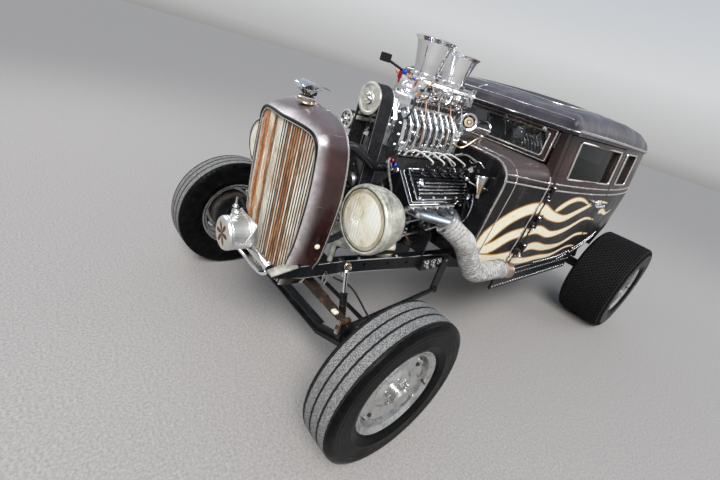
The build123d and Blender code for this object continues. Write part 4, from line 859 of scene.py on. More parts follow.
def make_lamps():
    """Fluted lens, reflector, bulb, bezel and smooth bowl of each lamp."""
    x, y, z, r, d = 440, -61, 910, 136, 185
    for name, side in SIDES:
        glass = Form()
        rings = []
        for k in range(19):
            t = k / 18
            bulge = -13.8 * cos(t * pi / 2) ** 1.2
            ring = []
            for c, s in circle((r - 7.5) * sin(t * pi / 2), 96):
                flute = 1.1 * (0.5 + 0.5 * cos(c / 7.2 * pi)) if t < 0.97 else 0
                ring.append(Vector((x + c, y + bulge + flute, z + s)))
            rings.append(ring)
        glass.grid(rings + [[v + Vector((0, 4, 0)) for v in ring] for ring in rings[::-1]],
                   lambda i, j: 1 if 11 <= i <= 25 else 0)
        glass.on(side).piece(f"{name}_lamp_glass", "chassis", ("lamp_lens", "lamp_lens_edge"), "lamp_glass", 60,
                             ("headlamp_lenses",) if side > 0 else ())
        form = Form()
        bowl = [(s, max(reach, TIP)) for s, reach in curve((
            (11, r + 2.2), (28, r + 1.6), (0.45 * d, 0.935 * r + 1.5), (0.72 * d, 0.735 * r + 1.5),
            (0.93 * d, 0.38 * r + 1.5), (d + 1, TIP)), 7)]
        # Bezel and its inner ring, bowl, band, reflector and bulb
        for way, steps, paint, profile in (
                (BACK, 96, 1, [(12, r - 0.5), (6, r + 2), (-1, r + 1), (-6, r - 3), (-7.5, r - 7), (-6, r - 11),
                               (0, r - 11.5), (6, r - 9)]),
                (BACK, 96, 5, [(-5, r - 11.5), (-6.2, r - 13.5), (-3, r - 15.5)]),
                (BACK, 96, 1, bowl),
                (BACK, 96, [5, 1, 1, 1, 5], [(12, r + 0.5), (12.5, r + 2.5), (15, r + 4), (20, r + 4.2),
                                             (22.5, r + 1.6), (24.5, r + 1.8)]),
                (BACK, 64, 2, [(9, r - 11.5), (40, r * 0.76), (70, r * 0.5), (88, r * 0.25), (94, TIP)]),
                (AHEAD, 20, 3, [(-90, 18), (-62, 18), (-60, 12), (-45, 11.5), (-36, TIP)])):
            form.lathe((x, y, z), way, profile, steps, paint)
        # Clamp screw of the bezel at the foot, bracket with a nut at the top
        form.block((x - 12, y - 6, z - r - 9), (x + 12, y + 12, z - r + 4), 3, 3)
        form.bolt((x - 14, y + 3, z - r - 3), IN, 4.5, 6, 3)
        form.lathe((x - 10, 18, z - 0.9 * r - 4), DOWN, [(-16, 30), (0, 26), (12, 17), (30, 14.5)], 24, 3)
        form.tube([(x - 60, 55, z + 0.75 * r), (x - 75, 70, z + 0.82 * r), (x - 98, 85, z + 0.8 * r)], 6, 10, 4)
        form.bolt((x - 55, 45, z + 0.73 * r), (0.3, -0.2, 1), 9, 14, 3)
        # Loom from the bowl down the stalk
        form.tube(flow([(x - 10, y + 170, z - 30), (x - 30, y + 190, z - 90), (x - 60, 50, z - 160),
                        (x - 120, 36, z - 200), (245, 34, 660), (236, 36, 594)], 6), 5, 8, 4)
        form.on(side).piece(f"{name}_lamp_detail", "chassis", (
            "chrome", "lamp_shell", "lamp_bowl", "bolt_steel", "hose_rubber", "frame_black"), "polished_aluminium", 35)


def make_canister():
    """The spun tank's ends and straps, its plate and gusset, and the filler with its valve."""
    form = Form()
    x, y, z = -20, -345, 625
    form.lathe((x, -400, z), BACK, [
        (5, 68), (2.2, 69), (6, 74.5), (13, 77.8), (20, 77.4), (22, 78.4), (26, 78.4), (28, 77.4), (96, 77.4),
        (98, 78.4), (102, 78.4), (104, 77.4), (111.5, 77.4)], 72, 0)
    form.tube([(x, y, 722), (x, y, 728.2)], 23.5, 24, 1)
    form.tube([(x, y, 695), (x, y, 710)], 26.5, 24, 0)
    form.bolt((x, y, 727.5), UP, 14, 10, 1)
    # Lever and elbow on the neck
    form.tube(flow([(x, y, 714), (10, -350, 716), (25, -352, 742)], 4), 4.5, 8, 1)
    form.tube([(-40, y, 732), (-40, y, 787)], [6, 4], 10, 1)
    form.bolt((-40, y, 742), UP, 10, 12, 2)
    form.tube(flow([(-40, y, 737), (-65, -330, 757), (-80, -300, 752), (-70, -250, 655), (-40, -200, 585)], 6),
              5.5, 8, 3)
    # Plate behind the tank with a folded gusset on each side and bolts
    for edge, inner, bolt_x in ((-105, -101, -93), (70, 66, 58)):
        form.block((min(edge, inner), -340, 602), (max(edge, inner), -284, 606), 0)
        form.add([(a, b, c) for a in (edge, inner) for b, c in ((-288, 604), (-340, 604), (-288, 690))],
                 [(0, 1, 2), (5, 4, 3), (0, 3, 4, 1), (1, 4, 5, 2), (2, 5, 3, 0)], 0)
        for bolt_z in (615, 688):
            form.bolt((bolt_x, -290, bolt_z), AHEAD, 5, 5, 2)
    form.piece("tank_detail", "chassis", ("spun_pale", "cast_aluminium", "bolt_steel", "hose_rubber"),
               "polished_aluminium")


# Outer half-width and top of the frame rail, as (y, value) rows
RAIL_X = ((-275, 238), (-155, 250), (100, 264), (460, 312), (800, 345))
RAIL_TOP = ((-275, 548), (-155, 586), (100, 590), (460, 594), (800, 598))


def rail(y):
    """Outer half-width and top of the frame rail at y."""
    for (y0, x0), (y1, x1), (_, z0), (_, z1) in zip(RAIL_X, RAIL_X[1:], RAIL_TOP, RAIL_TOP[1:]):
        if y <= y1:
            t = (y - y0) / (y1 - y0)
            return x0 + (x1 - x0) * t, z0 + (z1 - z0) * t


def make_nose():
    """Spreader tube with clamps, nose caps, thin bright lines on the rail's edges as painted highlights, bolts and
    plates of the front frame.
    """
    form = Form()

    def strip(rows, out, inner, low, high, paint):
        """A plate on the rail's top."""
        rings = []
        for y in rows:
            x, z = rail(y)
            rings.append([(x + out, y, z + low), (x + out, y, z + high),
                          (x - inner, y, z + high), (x - inner, y, z + low)])
        form.prism(rings, paint)

    form.tube([(-187, -262, 552), (187, -262, 552)], 19.8, 28, 0)
    for _ in form.sides():
        form.lathe((166, -262, 552), OUT, [(0, 19.8), (0, 23.5), (11, 23.5), (11, 19.8)], 28, 1)
        form.bolt((171.5, -262, 575), UP, 5, 6, 1)
    form.tube(flow([(-190, -266, 540), (-165, -278.5, 515), (-110, -284, 508), (0, -284, 508), (110, -284, 508),
                    (165, -278.5, 515), (190, -266, 540)], 6), 8.2, 12, 1)
    for _ in form.sides():
        # Pale cap on the sloping nose, and thin polished lines along the rail's edges: painted highlights
        strip((-276.5, -235, -195, -160), 2, 48, -4, 2.2, 2)
        rows = [(y, *rail(y)) for y in (-150, 100, 460, 800)]
        form.tube([(x + 0.4, y, z - 0.8) for y, x, z in rows], 2, 6, 1)
        form.tube([(x + 0.4, y, 522 if y < 500 else 507) for y, x, z in rows], 1.3, 6, 1)
    for _ in form.sides():
        # Thin polished plate
        strip((160, 300, 440), 4, 30, 1, 6, 1)
        for y in (180, 420):
            x, z = rail(y)
            form.bolt((x - 12, y, z + 6), UP, 6, 6, 3)
        # Bolts through the side plate, each in a cup washer
        plate = 349.8
        for y in (630, 690, 750, 810):
            form.lathe((plate, y, 556), OUT, [(0, 21), (4, 21), (4, 17.2), (1.5, 13)], 24, 1)
            form.bolt((plate + 1.2, y, 556), OUT, 9.5, 11, 3, washer=False)
        for y in (655, 715):
            form.bolt((plate, y, 526), OUT, 8.5, 9, 3)
        # Shock bolt, hanging link and rail bolts
        form.lathe((320, 58, 604), OUT, [(0, 20), (6, 21), (10, 18), (12, 13), (20, 12), (22, TIP)], 20, 4)
        form.bolt((338, 58, 604), OUT, 9, 10, 3)
        form.tube(flow([(262, -12, 535), (272, -22, 530), (276, -24, 500), (272, -10, 482), (268, 6, 500),
                        (266, 6, 530)], 5), 4.5, 8, 3)
        for y in (220, 370, 500):
            form.bolt((rail(y)[0], y, 560), OUT, 8, 7, 5)
    form.piece("nose_trim", "chassis", ("chrome", "polished", "lamp_shell", "bolt_steel", "brass", "frame_black"),
               "chrome")


def make_front_end():
    """Shock sleeves, spring clamps, shackle bolts and fittings of the axle, hub backs and tie rod ends."""
    form = Form()
    for _ in form.sides():
        a, b = Vector((316, 58, 604)), Vector((424, 40, 300))
        long = (b - a).length
        form.lathe(a, b - a, [(0.4 * long, 10.2), (0.41 * long, 18.6), (0.425 * long, 18.6), (0.43 * long, 17.8),
                              (0.8 * long, 17.8), (0.81 * long, 18.6), (0.83 * long, 18.6), (0.84 * long, 17.8),
                              (long - 13, 17.8)], 28, 0)
        form.lathe(a, b - a, [(20, 9.8), (30, 12.5), (45, 12.5), (50, 9.8), (0.4 * long, 9.8)], 24, 1)
        for z in (406, 354):
            for back in (-1, 1):
                form.bolt((462, back * 29.5, z), (0, back, 0), 8.5, 9, 2)
        for x, top in ((225, 430), (300, 422), (380, 414)):
            form.block((x - 10.5, -24.5, 400), (x + 10.5, 24.5, top), 3, 2)
        form.block((389, -30, 413.5), (421, -5, 430), 4, 4)
        form.bolt((430, 52, 322), BACK, 11, 12, 2)
        # Brake hose
        form.tube(flow([(280, 30, 520), (360, 90, 500), (500, 100, 440), (620, 70, 440)], 7), 5, 8, 5)
    for x in (-45, 45):
        form.tube(flow([(x, -38, 390), (x, -38, 445), (x, -30, 456.5), (x, 30, 456.5), (x, 38, 445), (x, 38, 390)], 5),
                  6, 8, 2)
    form.block((-55, -34, 388.5), (55, 34, 392.5), 2, 1.5)
    form.piece("front_fittings", "chassis", (
        "door_black", "chrome", "bolt_steel", "rusty_iron", "art_cream", "hose_rubber"), "frame_black")
    for name, side in SIDES:
        back = Form()
        back.lathe((702, 0, 350), IN, [(-1, 127), (1, 127.5), (4, 126), (4.5, 118), (1, 112), (1, 80), (4, 74),
                                       (4.5, 40), (4, TIP)], 60, 0)
        for c, s in circle(57, 6):
            back.bolt((697.5, c, 350 + s), IN, 6.5, 7, 1)
        back.lathe((655, 0, 407), UP, [(0, 13.5), (4, 13.5), (6, 10), (7.5, TIP)], 16, 1)
        back.on(side).piece(f"{name}_backing", f"{name}_knuckle", ("frame_black", "bolt_steel"), "frame_black")
    rod = Form()
    for _ in rod.sides():
        rod.lathe((655, 155, 364), UP, [(0, 18.5), (3, 20.5), (6, 17), (9, 9), (12, TIP)], 20, 0)
        rod.bolt((610, 155, 361), UP, 6, 6, 0, washer=False)
        rod.lathe((580, 155, 350), OUT, [(0, 11.2), (2, 14.5), (14, 14.5), (16, 11.2)], 6, 0)
    rod.piece("tie_rod_ends", "tie_rod", ("bolt_steel",), "frame_black")


# Engine

# Directions up a cylinder bank and square to it, outboard
ALONG, ACROSS = (1, 0, 1), (1, 0, -1)


def bank(r, v, y):
    """A place on the left cylinder bank: r along the bank, v across it."""
    return Vector(((r + v) * sqrt(0.5), y, 690 + (r - v) * sqrt(0.5)))


def hoses(form, rows, steps=8, sides=8):
    """Lines, hoses and leads, each as its points, radius and paint."""
    for points, radius, paint in rows:
        form.tube(flow(points, steps), radius, sides, paint)


def make_pulleys():
    """Faces of the belt pulleys, the idler and its bracket, and the belt's edges."""
    form = Form()
    face = 198.5
    for z, r, holes in ((1302, 72, 8), (690, 95, 6)):
        form.lathe((0, face, z), AHEAD, [
            (-1, r), (1.5, r - 0.5), (3, r - 3), (3, r - 11), (0.5, r - 15), (0.5, r * 0.42), (4, r * 0.38),
            (6, r * 0.3), (6, r * 0.2), (3, r * 0.18), (3, TIP)], 64, [0, 0, 0, 0, 0, 0, 1, 0, 0, 1])
        for c, s in circle(1, 40):
            tooth = [((r + 1.8) * c - 3 * turn * s, (r + 1.8) * s + 3 * turn * c) for turn in (1, -1)]
            tooth += [((r - 4) * c - 4.2 * turn * s, (r - 4) * s + 4.2 * turn * c) for turn in (-1, 1)]
            form.rings([[Vector((a, y, z + b)) for a, b in tooth] for y in (face - 2.8, face + 4)], 0)
        # Dark floors in the shallow holes: painted shade
        for c, s in circle(r * 0.6, holes, 0.6 * pi / holes):
            size = r / 90
            form.lathe((c, face - 0.5, z + s), AHEAD, [
                (1.2, 11.5 * size), (1.2, 9.5 * size), (-0.4, 8.5 * size), (-0.2, TIP)], 16, [0, 2, 2])
        for c, s in circle(r * 0.29, 5):
            form.bolt((c, face - 6, z + s), AHEAD, 4.5, 6, 3, washer=False)
        form.bolt((0, face - 3, z), AHEAD, 8.5, 9, 3)
    # Idler: rim, web and hub, on a polished fork from the blower's nose
    form.lathe((-127, 202.5, 1170), AHEAD, [
        (-84, 45.5), (-83, 48), (-80, 48), (-79, 45.5), (0, 45.5), (1, 48), (4, 48), (5, 44), (5, 38), (1, 34),
        (1, 16), (6, 14.5), (7, 9), (7, TIP)], 56, [0, 0, 0, 4, 0, 0, 0, 0, 1, 1, 0, 0, 3])
    # Dark dimples in the idler's web: painted shade in its holes
    for c, s in circle(25, 6):
        form.lathe((c - 127, 201.5, s + 1170), AHEAD, [(1.2, 6.8), (0.8, 5.5), (-0.2, TIP)], 14, 2)
    form.bolt((-127, 195.5, 1170), AHEAD, 7, 7, 3)
    arm = [(-145, 1150), (-110, 1150), (-60, 1200), (-50, 1260), (-75, 1262), (-100, 1215), (-147, 1190)]
    form.rings([[Vector((x, y, z)) for x, z in arm] for y in (291.5, 302)], 0)
    form.block((-100, 210, 1185), (-62, 292, 1207), 0, 4)
    form.block((-98, 214, 1214), (-60, 292, 1232), 0, 4)
    for z in (1196, 1223):
        form.bolt((-80, 212, z), AHEAD, 6, 7, 3)
    form.piece("pulley_faces", "chassis", (
        "pulley_cream", "polished", "near_black_and_painted_shade", "bolt_steel", "belt_rubber"), "polished_aluminium", 32)
    belt = Form()
    top_z, low_z, top_r, low_r = 1302, 690, 72.5, 99.5
    tilt = atan2(low_r - top_r, top_z - low_z)
    ends = [((r + 0.2) * cos(tilt), z + (r + 0.2) * sin(tilt)) for r, z in ((top_r, top_z), (low_r, low_z))]
    for _ in belt.sides():
        for y in (204.5, 285.5):
            belt.tube([(x, y, z) for x, z in ends], 1.1, 6, 0)
    for y in (204.5, 285.5):
        belt.tube([(c, y, top_z + s) for c, s in circle(top_r + 0.2, 48)[:25]], 1.1, 6, 0)
    belt.piece("belt_edges", "chassis", ("belt_edge",), "belt_rubber")


def make_blower():
    """Nose bolts, end plates, rib studs and top plate of the blower."""
    form = Form()
    nose = flow([(-70, 0, 1175), (-92, 0, 1245), (-52, 0, 1332), (52, 0, 1332), (92, 0, 1245), (70, 0, 1175)], 4)
    for p in nose[::2]:
        form.bolt((p.x * 0.88, 296.2, 1250 + (p.z - 1250) * 0.88), AHEAD, 5.5, 7, 1)
    form.lathe((0, 296.5, 1302), AHEAD, [(0, 62), (3, 60), (5, 52)], 48, 0)
    # Studs through the two end plates, rear bearing covers
    for y, way in ((307.5, AHEAD), (776.5, BACK)):
        for _ in form.sides():
            for x, z in ((135, 1140), (140, 1190), (128, 1240), (100, 1285)):
                form.bolt((x, y, z), way, 6.5, 9, 1)
    for x in (-55, 55):
        form.lathe((x, 776, 1210), BACK, [(0, 45), (12, 44), (18, 38), (20, 20), (20, TIP)], 40, 0)
        for c, s in circle(32, 6):
            form.bolt((x + c, 794, 1210 + s), BACK, 4, 4, 1)
    # Rounded caps over each rib and studs along the foot and the lid
    for _ in form.sides():
        for i in range(8):
            y = 364.5 + 50 * i
            line = flow([(153, y, 1130), (157.5, y, 1175), (150.5, y, 1238), (123.5, y, 1279), (94.5, y, 1308.5)], 5)
            form.tube(line, 5.8, 10, 0)
            # Thin dark lines beside each rib: painted shade between the ribs
            for shift in (-12.5, 12.5):
                form.tube([p + Vector((-6.5, shift, -1)) for p in line[2:]], 3.2, 6, 2)
        for y in range(345, 760, 46):
            form.bolt((146.5, y, 1115.5), (0.35, 0, 1), 6.2, 13, 1)
            form.lathe((147, y, 1100), OUT, [(0, 7.8), (8, 7.8), (11, 5), (11.2, TIP)], 14, 1)
        for y in range(400, 731, 55):
            form.bolt((79.5, y, 1350.5), UP, 5, 6, 1)
        # Burst panel with its frame and springs on the side
        for y in (420, 465, 510, 560, 605, 650):
            form.bolt((149, y, 1160), (1, 0, 0.05), 5, 7, 1)
            form.lathe((135.5, y, 1255), (0.75, 0, 0.65), [(0, 9), (6, 9), (8, 6), (8.2, TIP)], 12, 0)
    # Small lugs and caps that crowd the case, more of them to the front
    rng = random.Random(7)
    for i in range(110):
        form.hand = rng.choice((-1, 1))
        y = 335 + 420 * rng.random() ** 1.3
        z = 1140 + 150 * rng.random()
        reach = 143.5 - max(0.0, z - 1200) * 0.55
        size = 4 + 6.5 * rng.random() ** 1.5
        form.lathe((reach, y, z), (1, 0, 0.4 if z > 1200 else 0.02), [
            (0, size * 1.25), (5, size * 1.2), (7, size), (11.5, size * 0.9), (12.5, TIP)], 10, 0 if i % 3 else 1)
    # Dark blocks in the slots under the lid and at the ribs' foot: painted shade
    for _ in form.sides():
        for y in range(400, 725, 27):
            form.block((94.5, y, 1323.5), (102.5, y + 13, 1342.5), 2)
        for y in range(364, 765, 50):
            form.block((144.5, y, 1101), (150.5, y + 22, 1111), 2)
    form.piece("blower_detail", "chassis", ("polished", "chrome", "near_black_and_painted_shade"), "polished_aluminium", 40)


def make_hat():
    """The injector's rounded hat with its butterfly shafts and levers."""
    form = Form()
    section = []
    for cx, cz, start in ((62, 1435, 0), (-62, 1435, 90), (-67, 1360, 180), (67, 1360, 270)):
        for k in range(5):
            angle = radians(start + k * 22.5)
            section.append((cx + 18 * cos(angle), cz + 18.5 * sin(angle) * (1 if start < 180 else 0.5)))
    rows = ((412, 0.8), (416.5, 0.96), (430, 1.0), (620, 1.0), (830, 1.0), (844.5, 0.97), (847.5, 0.86))
    form.rings([[Vector((x * s, y, 1395 + (z - 1395) * (1.2 * s - 0.2))) for x, z in section[::-1]]
                for y, s in rows], 0)
    for y in (517, 742):
        form.lathe((0, y, 1444.5), UP, [(0, 79.5), (6, 79.5), (8.5, 76.5), (21.5, 76.5), (22.5, 73.5)], 56, 1)
        for c, s in circle(73, 8, pi / 8):
            form.bolt((c, y + s, 1465.5), UP, 4.2, 5, 2, washer=False)
        form.lathe((0, y, 1397), UP, [(0, 57.5), (2, 57.5), (3, TIP)], 40, 3)
        form.tube([(-105, y, 1398), (105, y, 1398)], 5.5, 12, 2)
        for _ in form.sides():
            form.lathe((79.5, y, 1398), OUT, [(0, 17), (5, 17), (6.5, 13), (13, 12), (14, 6)], 24, 0)
            lever = ((-9, 1392), (9, 1392), (5, 1436), (-5, 1436))
            form.rings([[form.place((x, y + a, z)) for a, z in lever] for x in (99, 103)], 2)
            form.bolt((103, y, 1398), OUT, 6, 6, 2)
            form.lathe((103, y, 1430), OUT, [(0, 6), (6, 6), (7.5, 4), (7.7, TIP)], 12, 1)
    return form


def make_injector():
    """Hat and linkage, nozzles and fuel lines, fittings and the switch on its stalk."""
    form = make_hat()
    for side in form.sides():
        form.tube([(107.5, 455, 1430), (107.5, 790, 1430)], 3.5, 8, 2)
        for y in (500, 535, 725, 760):
            form.lathe((107.5, y, 1430), BACK, [(-8, 4.5), (-7, 6), (7, 6), (8, 4.5)], 6, 1)
        form.tube([(107.5 + side * 5 * cos(k * 0.9), 600 + k * 0.9, 1410 + 5 * sin(k * 0.9)) for k in range(96)],
                  0.9, 5, 2)
        # Nozzles with thin lines down to the ports
        for i, y in enumerate((450, 550, 650, 750)):
            form.bolt((83.5, y, 1372), (1, 0, -0.15), 7.5, 10, 4 + i % 2)
            form.lathe((93, y, 1370), (1, 0, -0.15), [(0, 5.5), (10, 5.5), (13, 3.5)], 10, 6)
            form.tube(flow([(103, y, 1369), (125, y - 6, 1355), (150, y - 12, 1300), (165, y - 8, 1220),
                            (168, y, 1140), (158, y + 4, 1100)], 6), 2.3, 7, 6 + i % 2)
            form.bolt((152, y + 4, 1092), (0.6, 0, 0.8), 7, 14, 4)
        # Distribution block with its own row of unions
        form.block((88, 560, 1352), (112, 690, 1376), 1, 3)
        for i in range(5):
            form.bolt((100, 572 + 26 * i, 1376), UP, 5.5, 10, 4 if i % 2 else 5, washer=False)
            form.tube(flow([(100, 572 + 26 * i, 1386), (102, 576 + 24 * i, 1398), (88, 580 + 24 * i, 1404)], 4),
                      2.4, 6, 7)
        form.tube(flow([(90, 400, 1360), (118, 370, 1350), (140, 345, 1300), (120, 318, 1220), (90, 312, 1140),
                        (100, 325, 1060)], 6), 5.5, 10, 8)
    # Front of the hat: pump unions, red and blue elbows, rod, and a small black box on a stalk
    form.lathe((0, 414, 1390), AHEAD, [(0, 30), (6, 30), (8, 24), (22, 22), (26, 16), (30, TIP)], 28, 0)
    form.lathe((0, 400, 1444), (0, -1, 0.25), [(0, 9), (22, 9), (25, 12), (40, 12), (43, 8), (60, 7)], 12, 9)
    form.lathe((4, 338, 1452), (0, 0.1, -1), [(0, 7), (12, 7.5), (14, 10.5), (30, 10.5), (33, 6), (50, 5)], 12, 10)
    form.tube(flow([(4, 342, 1402), (4, 342, 1360), (20, 330, 1335)], 4), 3.5, 8, 2)
    form.tube([(0, 340, 1459), (0, 250, 1478)], 6, 10, 3)
    form.block((-16, 205, 1468), (16, 247, 1504), 3, 3)
    for y in (360, 376, 392):
        for side, paint in ((1, 4), (-1, 6)):
            form.lathe((side * 30, y, 1440), (side * 0.5, -0.4, 0.6), [(0, 6.5), (10, 6.5), (12, 4.5), (22, 4.5)],
                       8, paint)
    rng = random.Random(21)
    for _ in range(84):
        form.hand = rng.choice((-1, 1))
        y, z = 390 + 440 * rng.random(), 1335 + 100 * rng.random()
        size = 4 + 5 * rng.random()
        paint = rng.choice((0, 1, 1, 2, 3, 3, 4, 6, 8))
        form.lathe((80, y, z), (1, rng.uniform(-0.5, 0.5), rng.uniform(-0.3, 0.6)), [
            (0, size), (10, size), (12, size * 0.7), (20, size * 0.65), (21, TIP)], 8, paint)
    for _ in form.sides():
        for i in range(5):
            y = 440 + i * 82
            form.tube(flow([(90, y, 1355), (116, y + 12, 1370), (112, y + 30, 1410), (88, y + 40, 1430)], 5),
                      3.2, 7, (3, 8, 1)[i % 3])
    # Bracket at the back with a hinge
    form.block((-70, 848, 1360), (70, 852, 1452), 1, 1.5)
    form.tube([(-60, 853, 1455), (85, 853, 1455)], 6.5, 12, 2)
    form.block((72, 842, 1380), (100, 850, 1470), 1, 2)
    form.piece("injector_detail", "chassis", (
        "polished", "chrome", "bolt_steel", "door_black", "brass", "chrome", "copper", "braided", "hose_rubber",
        "fitting_blue", "fitting_red"), "polished_aluminium", 38)
    # Stacks: rolled lips and a bright seam at the foot
    form = Form()
    rim = 103
    for y, h in ((517, 166.9), (742, 146.9)):
        outer = curve(((0, 62.5), (0.05 * h, 62.8), (0.4 * h, 71.8), (0.85 * h, 88.8), (0.93 * h, 95.5),
                       (h - 7, 102.2)), 6)
        inner = curve(((h - 6, 95.5), (0.85 * h, 83.2), (0.4 * h, 66.2), (-20, 57.5), (-65, 57.2)), 6)
        lip = [(h - 7.5, rim - 1.5), (h - 6.5, rim), (h - 3, rim), (h - 0.2, rim - 2), (h - 0.2, rim - 6.5),
               (h - 4, rim - 8), (h - 7.5, rim - 7.5)]
        for profile, steps, paint in ((lip, 96, 1), (outer, 96, 0), ([(1, 64.5), (6, 64.5), (7, 63)], 72, 1),
                                      (inner, 72, 0)):
            form.lathe((0, y, 1465.1), UP, profile, steps, paint)
    form.piece("stack_skins", "chassis", ("spun", "chrome"), "polished_aluminium", 50)


def make_covers(form, side):
    """One bank's cover and head: fins, beads, bolts, plug leads and the breather."""
    for v in (-18, 0, 18, 36):
        r0, r1, v0, v1, cut = 449.5, 452.8, v - 0.3, v + 8.3, 1.2
        corners = ((r0, v0), (r0, v1), (r1 - cut, v1), (r1, v1 - cut), (r1, v0 + cut), (r1 - cut, v0))
        form.prism([[bank(r, v, y) for r, v in corners] for y in (349.5, 762.5)], 0)
    for r, v0, v1, y0, y1, thick in ((402, -90.5, 66.5, 334, 778, 6.2), (437.5, -89.5, 65.5, 334.5, 777.5, 3.4)):
        rim = [bank(r, v0, y0), bank(r, v1, y0), bank(r, v1, y1), bank(r, v0, y1)]
        for a, b in zip(rim, rim[1:] + rim[:1]):
            form.tube([a, b], thick, 8, 1)
    for y in (355, 460, 556, 652, 757):
        for v in (-83, 59):
            form.bolt(bank(438, v, y), ALONG, 5.5, 8, 2)
    # Head castings: bolts, the gasket's bright edge and plug bosses
    for y in (345, 440, 530, 620, 710, 775):
        form.bolt(bank(372, 76, y), ACROSS, 7.5, 9, 2)
    for r in (262, 396):
        form.tube([bank(r, 77, 322), bank(r, 77, 790)], 2.6, 6, 1)
        form.tube([bank(r, -99, 322.5), bank(r, 77, 322.5)], 2.6, 6, 1)
    for y in (432, 527, 622, 717):
        form.lathe(bank(300, 76, y), (1.25, 0, -0.75), [(0, 13), (6, 13), (8, 9.5), (30, 8.5), (32, 6.5), (50, 6)],
                   12, [2, 2, 4, 4, 4])
    # Leads: from the loom beside the blower in bows to boots on the cover's inner half
    up = Vector((0.75, 0, 1.25)).normalized()
    for y in (400, 490, 580, 670):
        foot = bank(438.5, -79, y + 50)
        end = foot + up * 52
        form.tube(flow([(158, y - 30, 1096), (172, y - 12, 1126), (205, y + 18, 1137),
                        end + Vector((2, -10, 18)), end], 7), 4.4, 8, 3)
        form.lathe(foot, up, [(0, 15), (6, 15), (8, 10.5), (34, 9.5), (37, 7.5), (54, 6.8)], 14, [1, 4, 4, 4, 4])
        form.tube([foot + up * 16 + Vector((22 * sin(t / 3), 14 * cos(t / 3) + 16, 2 * t / 3)) for t in range(17)],
                  4.8, 8, 4)
    form.tube([(156, 345, 1093), (156, 720, 1093)], 8, 10, 4)
    form.lathe(bank(440, -10, 375 if side > 0 else 740), ALONG, [
        (0, 16), (10, 16), (11, 20), (24, 20), (27, 17), (28, TIP)], 28, 1)


def make_heads():
    """Both covers, the water neck, the ignition with its duct, and the lines behind the engine."""
    form = Form()
    for side in form.sides():
        make_covers(form, side)
    form.lathe((122, 345, 1020), AHEAD, [(0, 34), (10, 34), (14, 27), (20, 25)], 24, 0)
    for x in (92, 152):
        form.bolt((x, 334, 1020), AHEAD, 6, 8, 2)
    for x, y, z in ((122, 312, 1020), (128, -12, 1106)):
        form.lathe((x, y, z), BACK, [(-6.5, 22.2), (-6, 23.6), (6, 23.6), (6.5, 22.2)], 28, 1)
        form.bolt((x + 6, y, z + 25.5), OUT, 4.5, 12, 2, washer=False)
    # Ignition: round housing with a brass-ringed face, its duct and stand
    at, way = Vector((163, 782, 1312)), Vector((0.72, -0.66, 0.2))
    form.lathe(at - way * 30, way, [
        (0, 34), (6, 42), (30, 44), (34, 47), (44, 47), (48, 43), (46, 36), (42, 34), (40, 24), (43, 21), (43, 12),
        (48, 8), (48, TIP)], 48, [0, 0, 0, 1, 1, 1, 6, 5, 7, 6, 5, 2])
    one, two = frame_of(way)
    for c, s in circle(28.5, 6):
        form.bolt(at + way.normalized() * 14 + one * c + two * s, way, 3.2, 4, 6, washer=False)
    form.tube([(165, 800, 1305), (170, 860, 1304), (172, 955, 1300)], 36, 32, 0)
    form.lathe((172, 940, 1300), BACK, [(0, 36.2), (2, 38.8), (12, 38.8), (14, 36.2)], 32, 1)
    form.block((168, 930, 1215), (176, 955, 1270), 1, 2)
    form.block((135, 780, 1235), (149, 800, 1290), 1, 2)
    for row in (
            (((165, 740, 1095), (240, 760, 1050), (340, 785, 1030), (420, 797, 1035)), 3.4, 3),
            (((200, 720, 1060), (270, 770, 1000), (330, 790, 940), (360, 797, 900)), 6.5, 4),
            (((120, 770, 1080), (160, 800, 1120), (220, 797, 1150), (300, 797, 1140)), 5.5, 8),
            (((220, 740, 1020), (300, 780, 970), (380, 790, 990), (430, 797, 1060)), 5, 4)):
        for _ in form.sides():
            hoses(form, (row,))
    for _ in form.sides():
        for i in range(5):
            middle = bank(452, -45, 410 + 78 * i)
            loop = [middle + Vector((13 * sin(t / 2.4), 13 * cos(t / 2.4), 3 + 2.2 * t / 2.4)) for t in range(19)]
            form.tube(loop, 3.4, 7, 5)
            # A thin chrome line along the top of each loop: a painted highlight
            form.tube([p + Vector((0, 0, 2.8)) for p in loop[3:12]], 1.4, 5, 1)
    # Braided line of the fuel supply and the small unions under the hose
    hoses(form, (
        (((168, 770, 1130), (185, 800, 1145), (190, 850, 1180), (175, 900, 1235)), 5.5, 8),
        (((100, 735, 1190), (160, 740, 1182), (200, 755, 1183), (212, 785, 1205), (222, 830, 1245),
          (232, 875, 1262)), 5.8, 6)))
    for at, paint in (((150, 318, 1062), 9), ((172, 322, 1048), 10), ((192, 326, 1030), 0)):
        form.lathe(at, (0.3, -1, 0.4), [(-12, 10), (4, 10), (6, 12.5), (18, 12.5), (20, 9), (30, 8)], 10, paint)
    hoses(form, (
        (((155, 290, 1075), (170, 270, 1060), (190, 285, 1000), (210, 310, 930), (200, 318, 860)), 6, 8),
        (((-155, 300, 1060), (-180, 280, 1030), (-200, 290, 950), (-170, 305, 860)), 6, 4)), 6)
    form.piece("head_detail", "chassis", (
        "polished", "chrome", "bolt_steel", "plug_lead", "hose_rubber", "door_black", "brass", "art_cream", "braided",
        "fitting_red", "fitting_blue"), "polished_aluminium", 38)


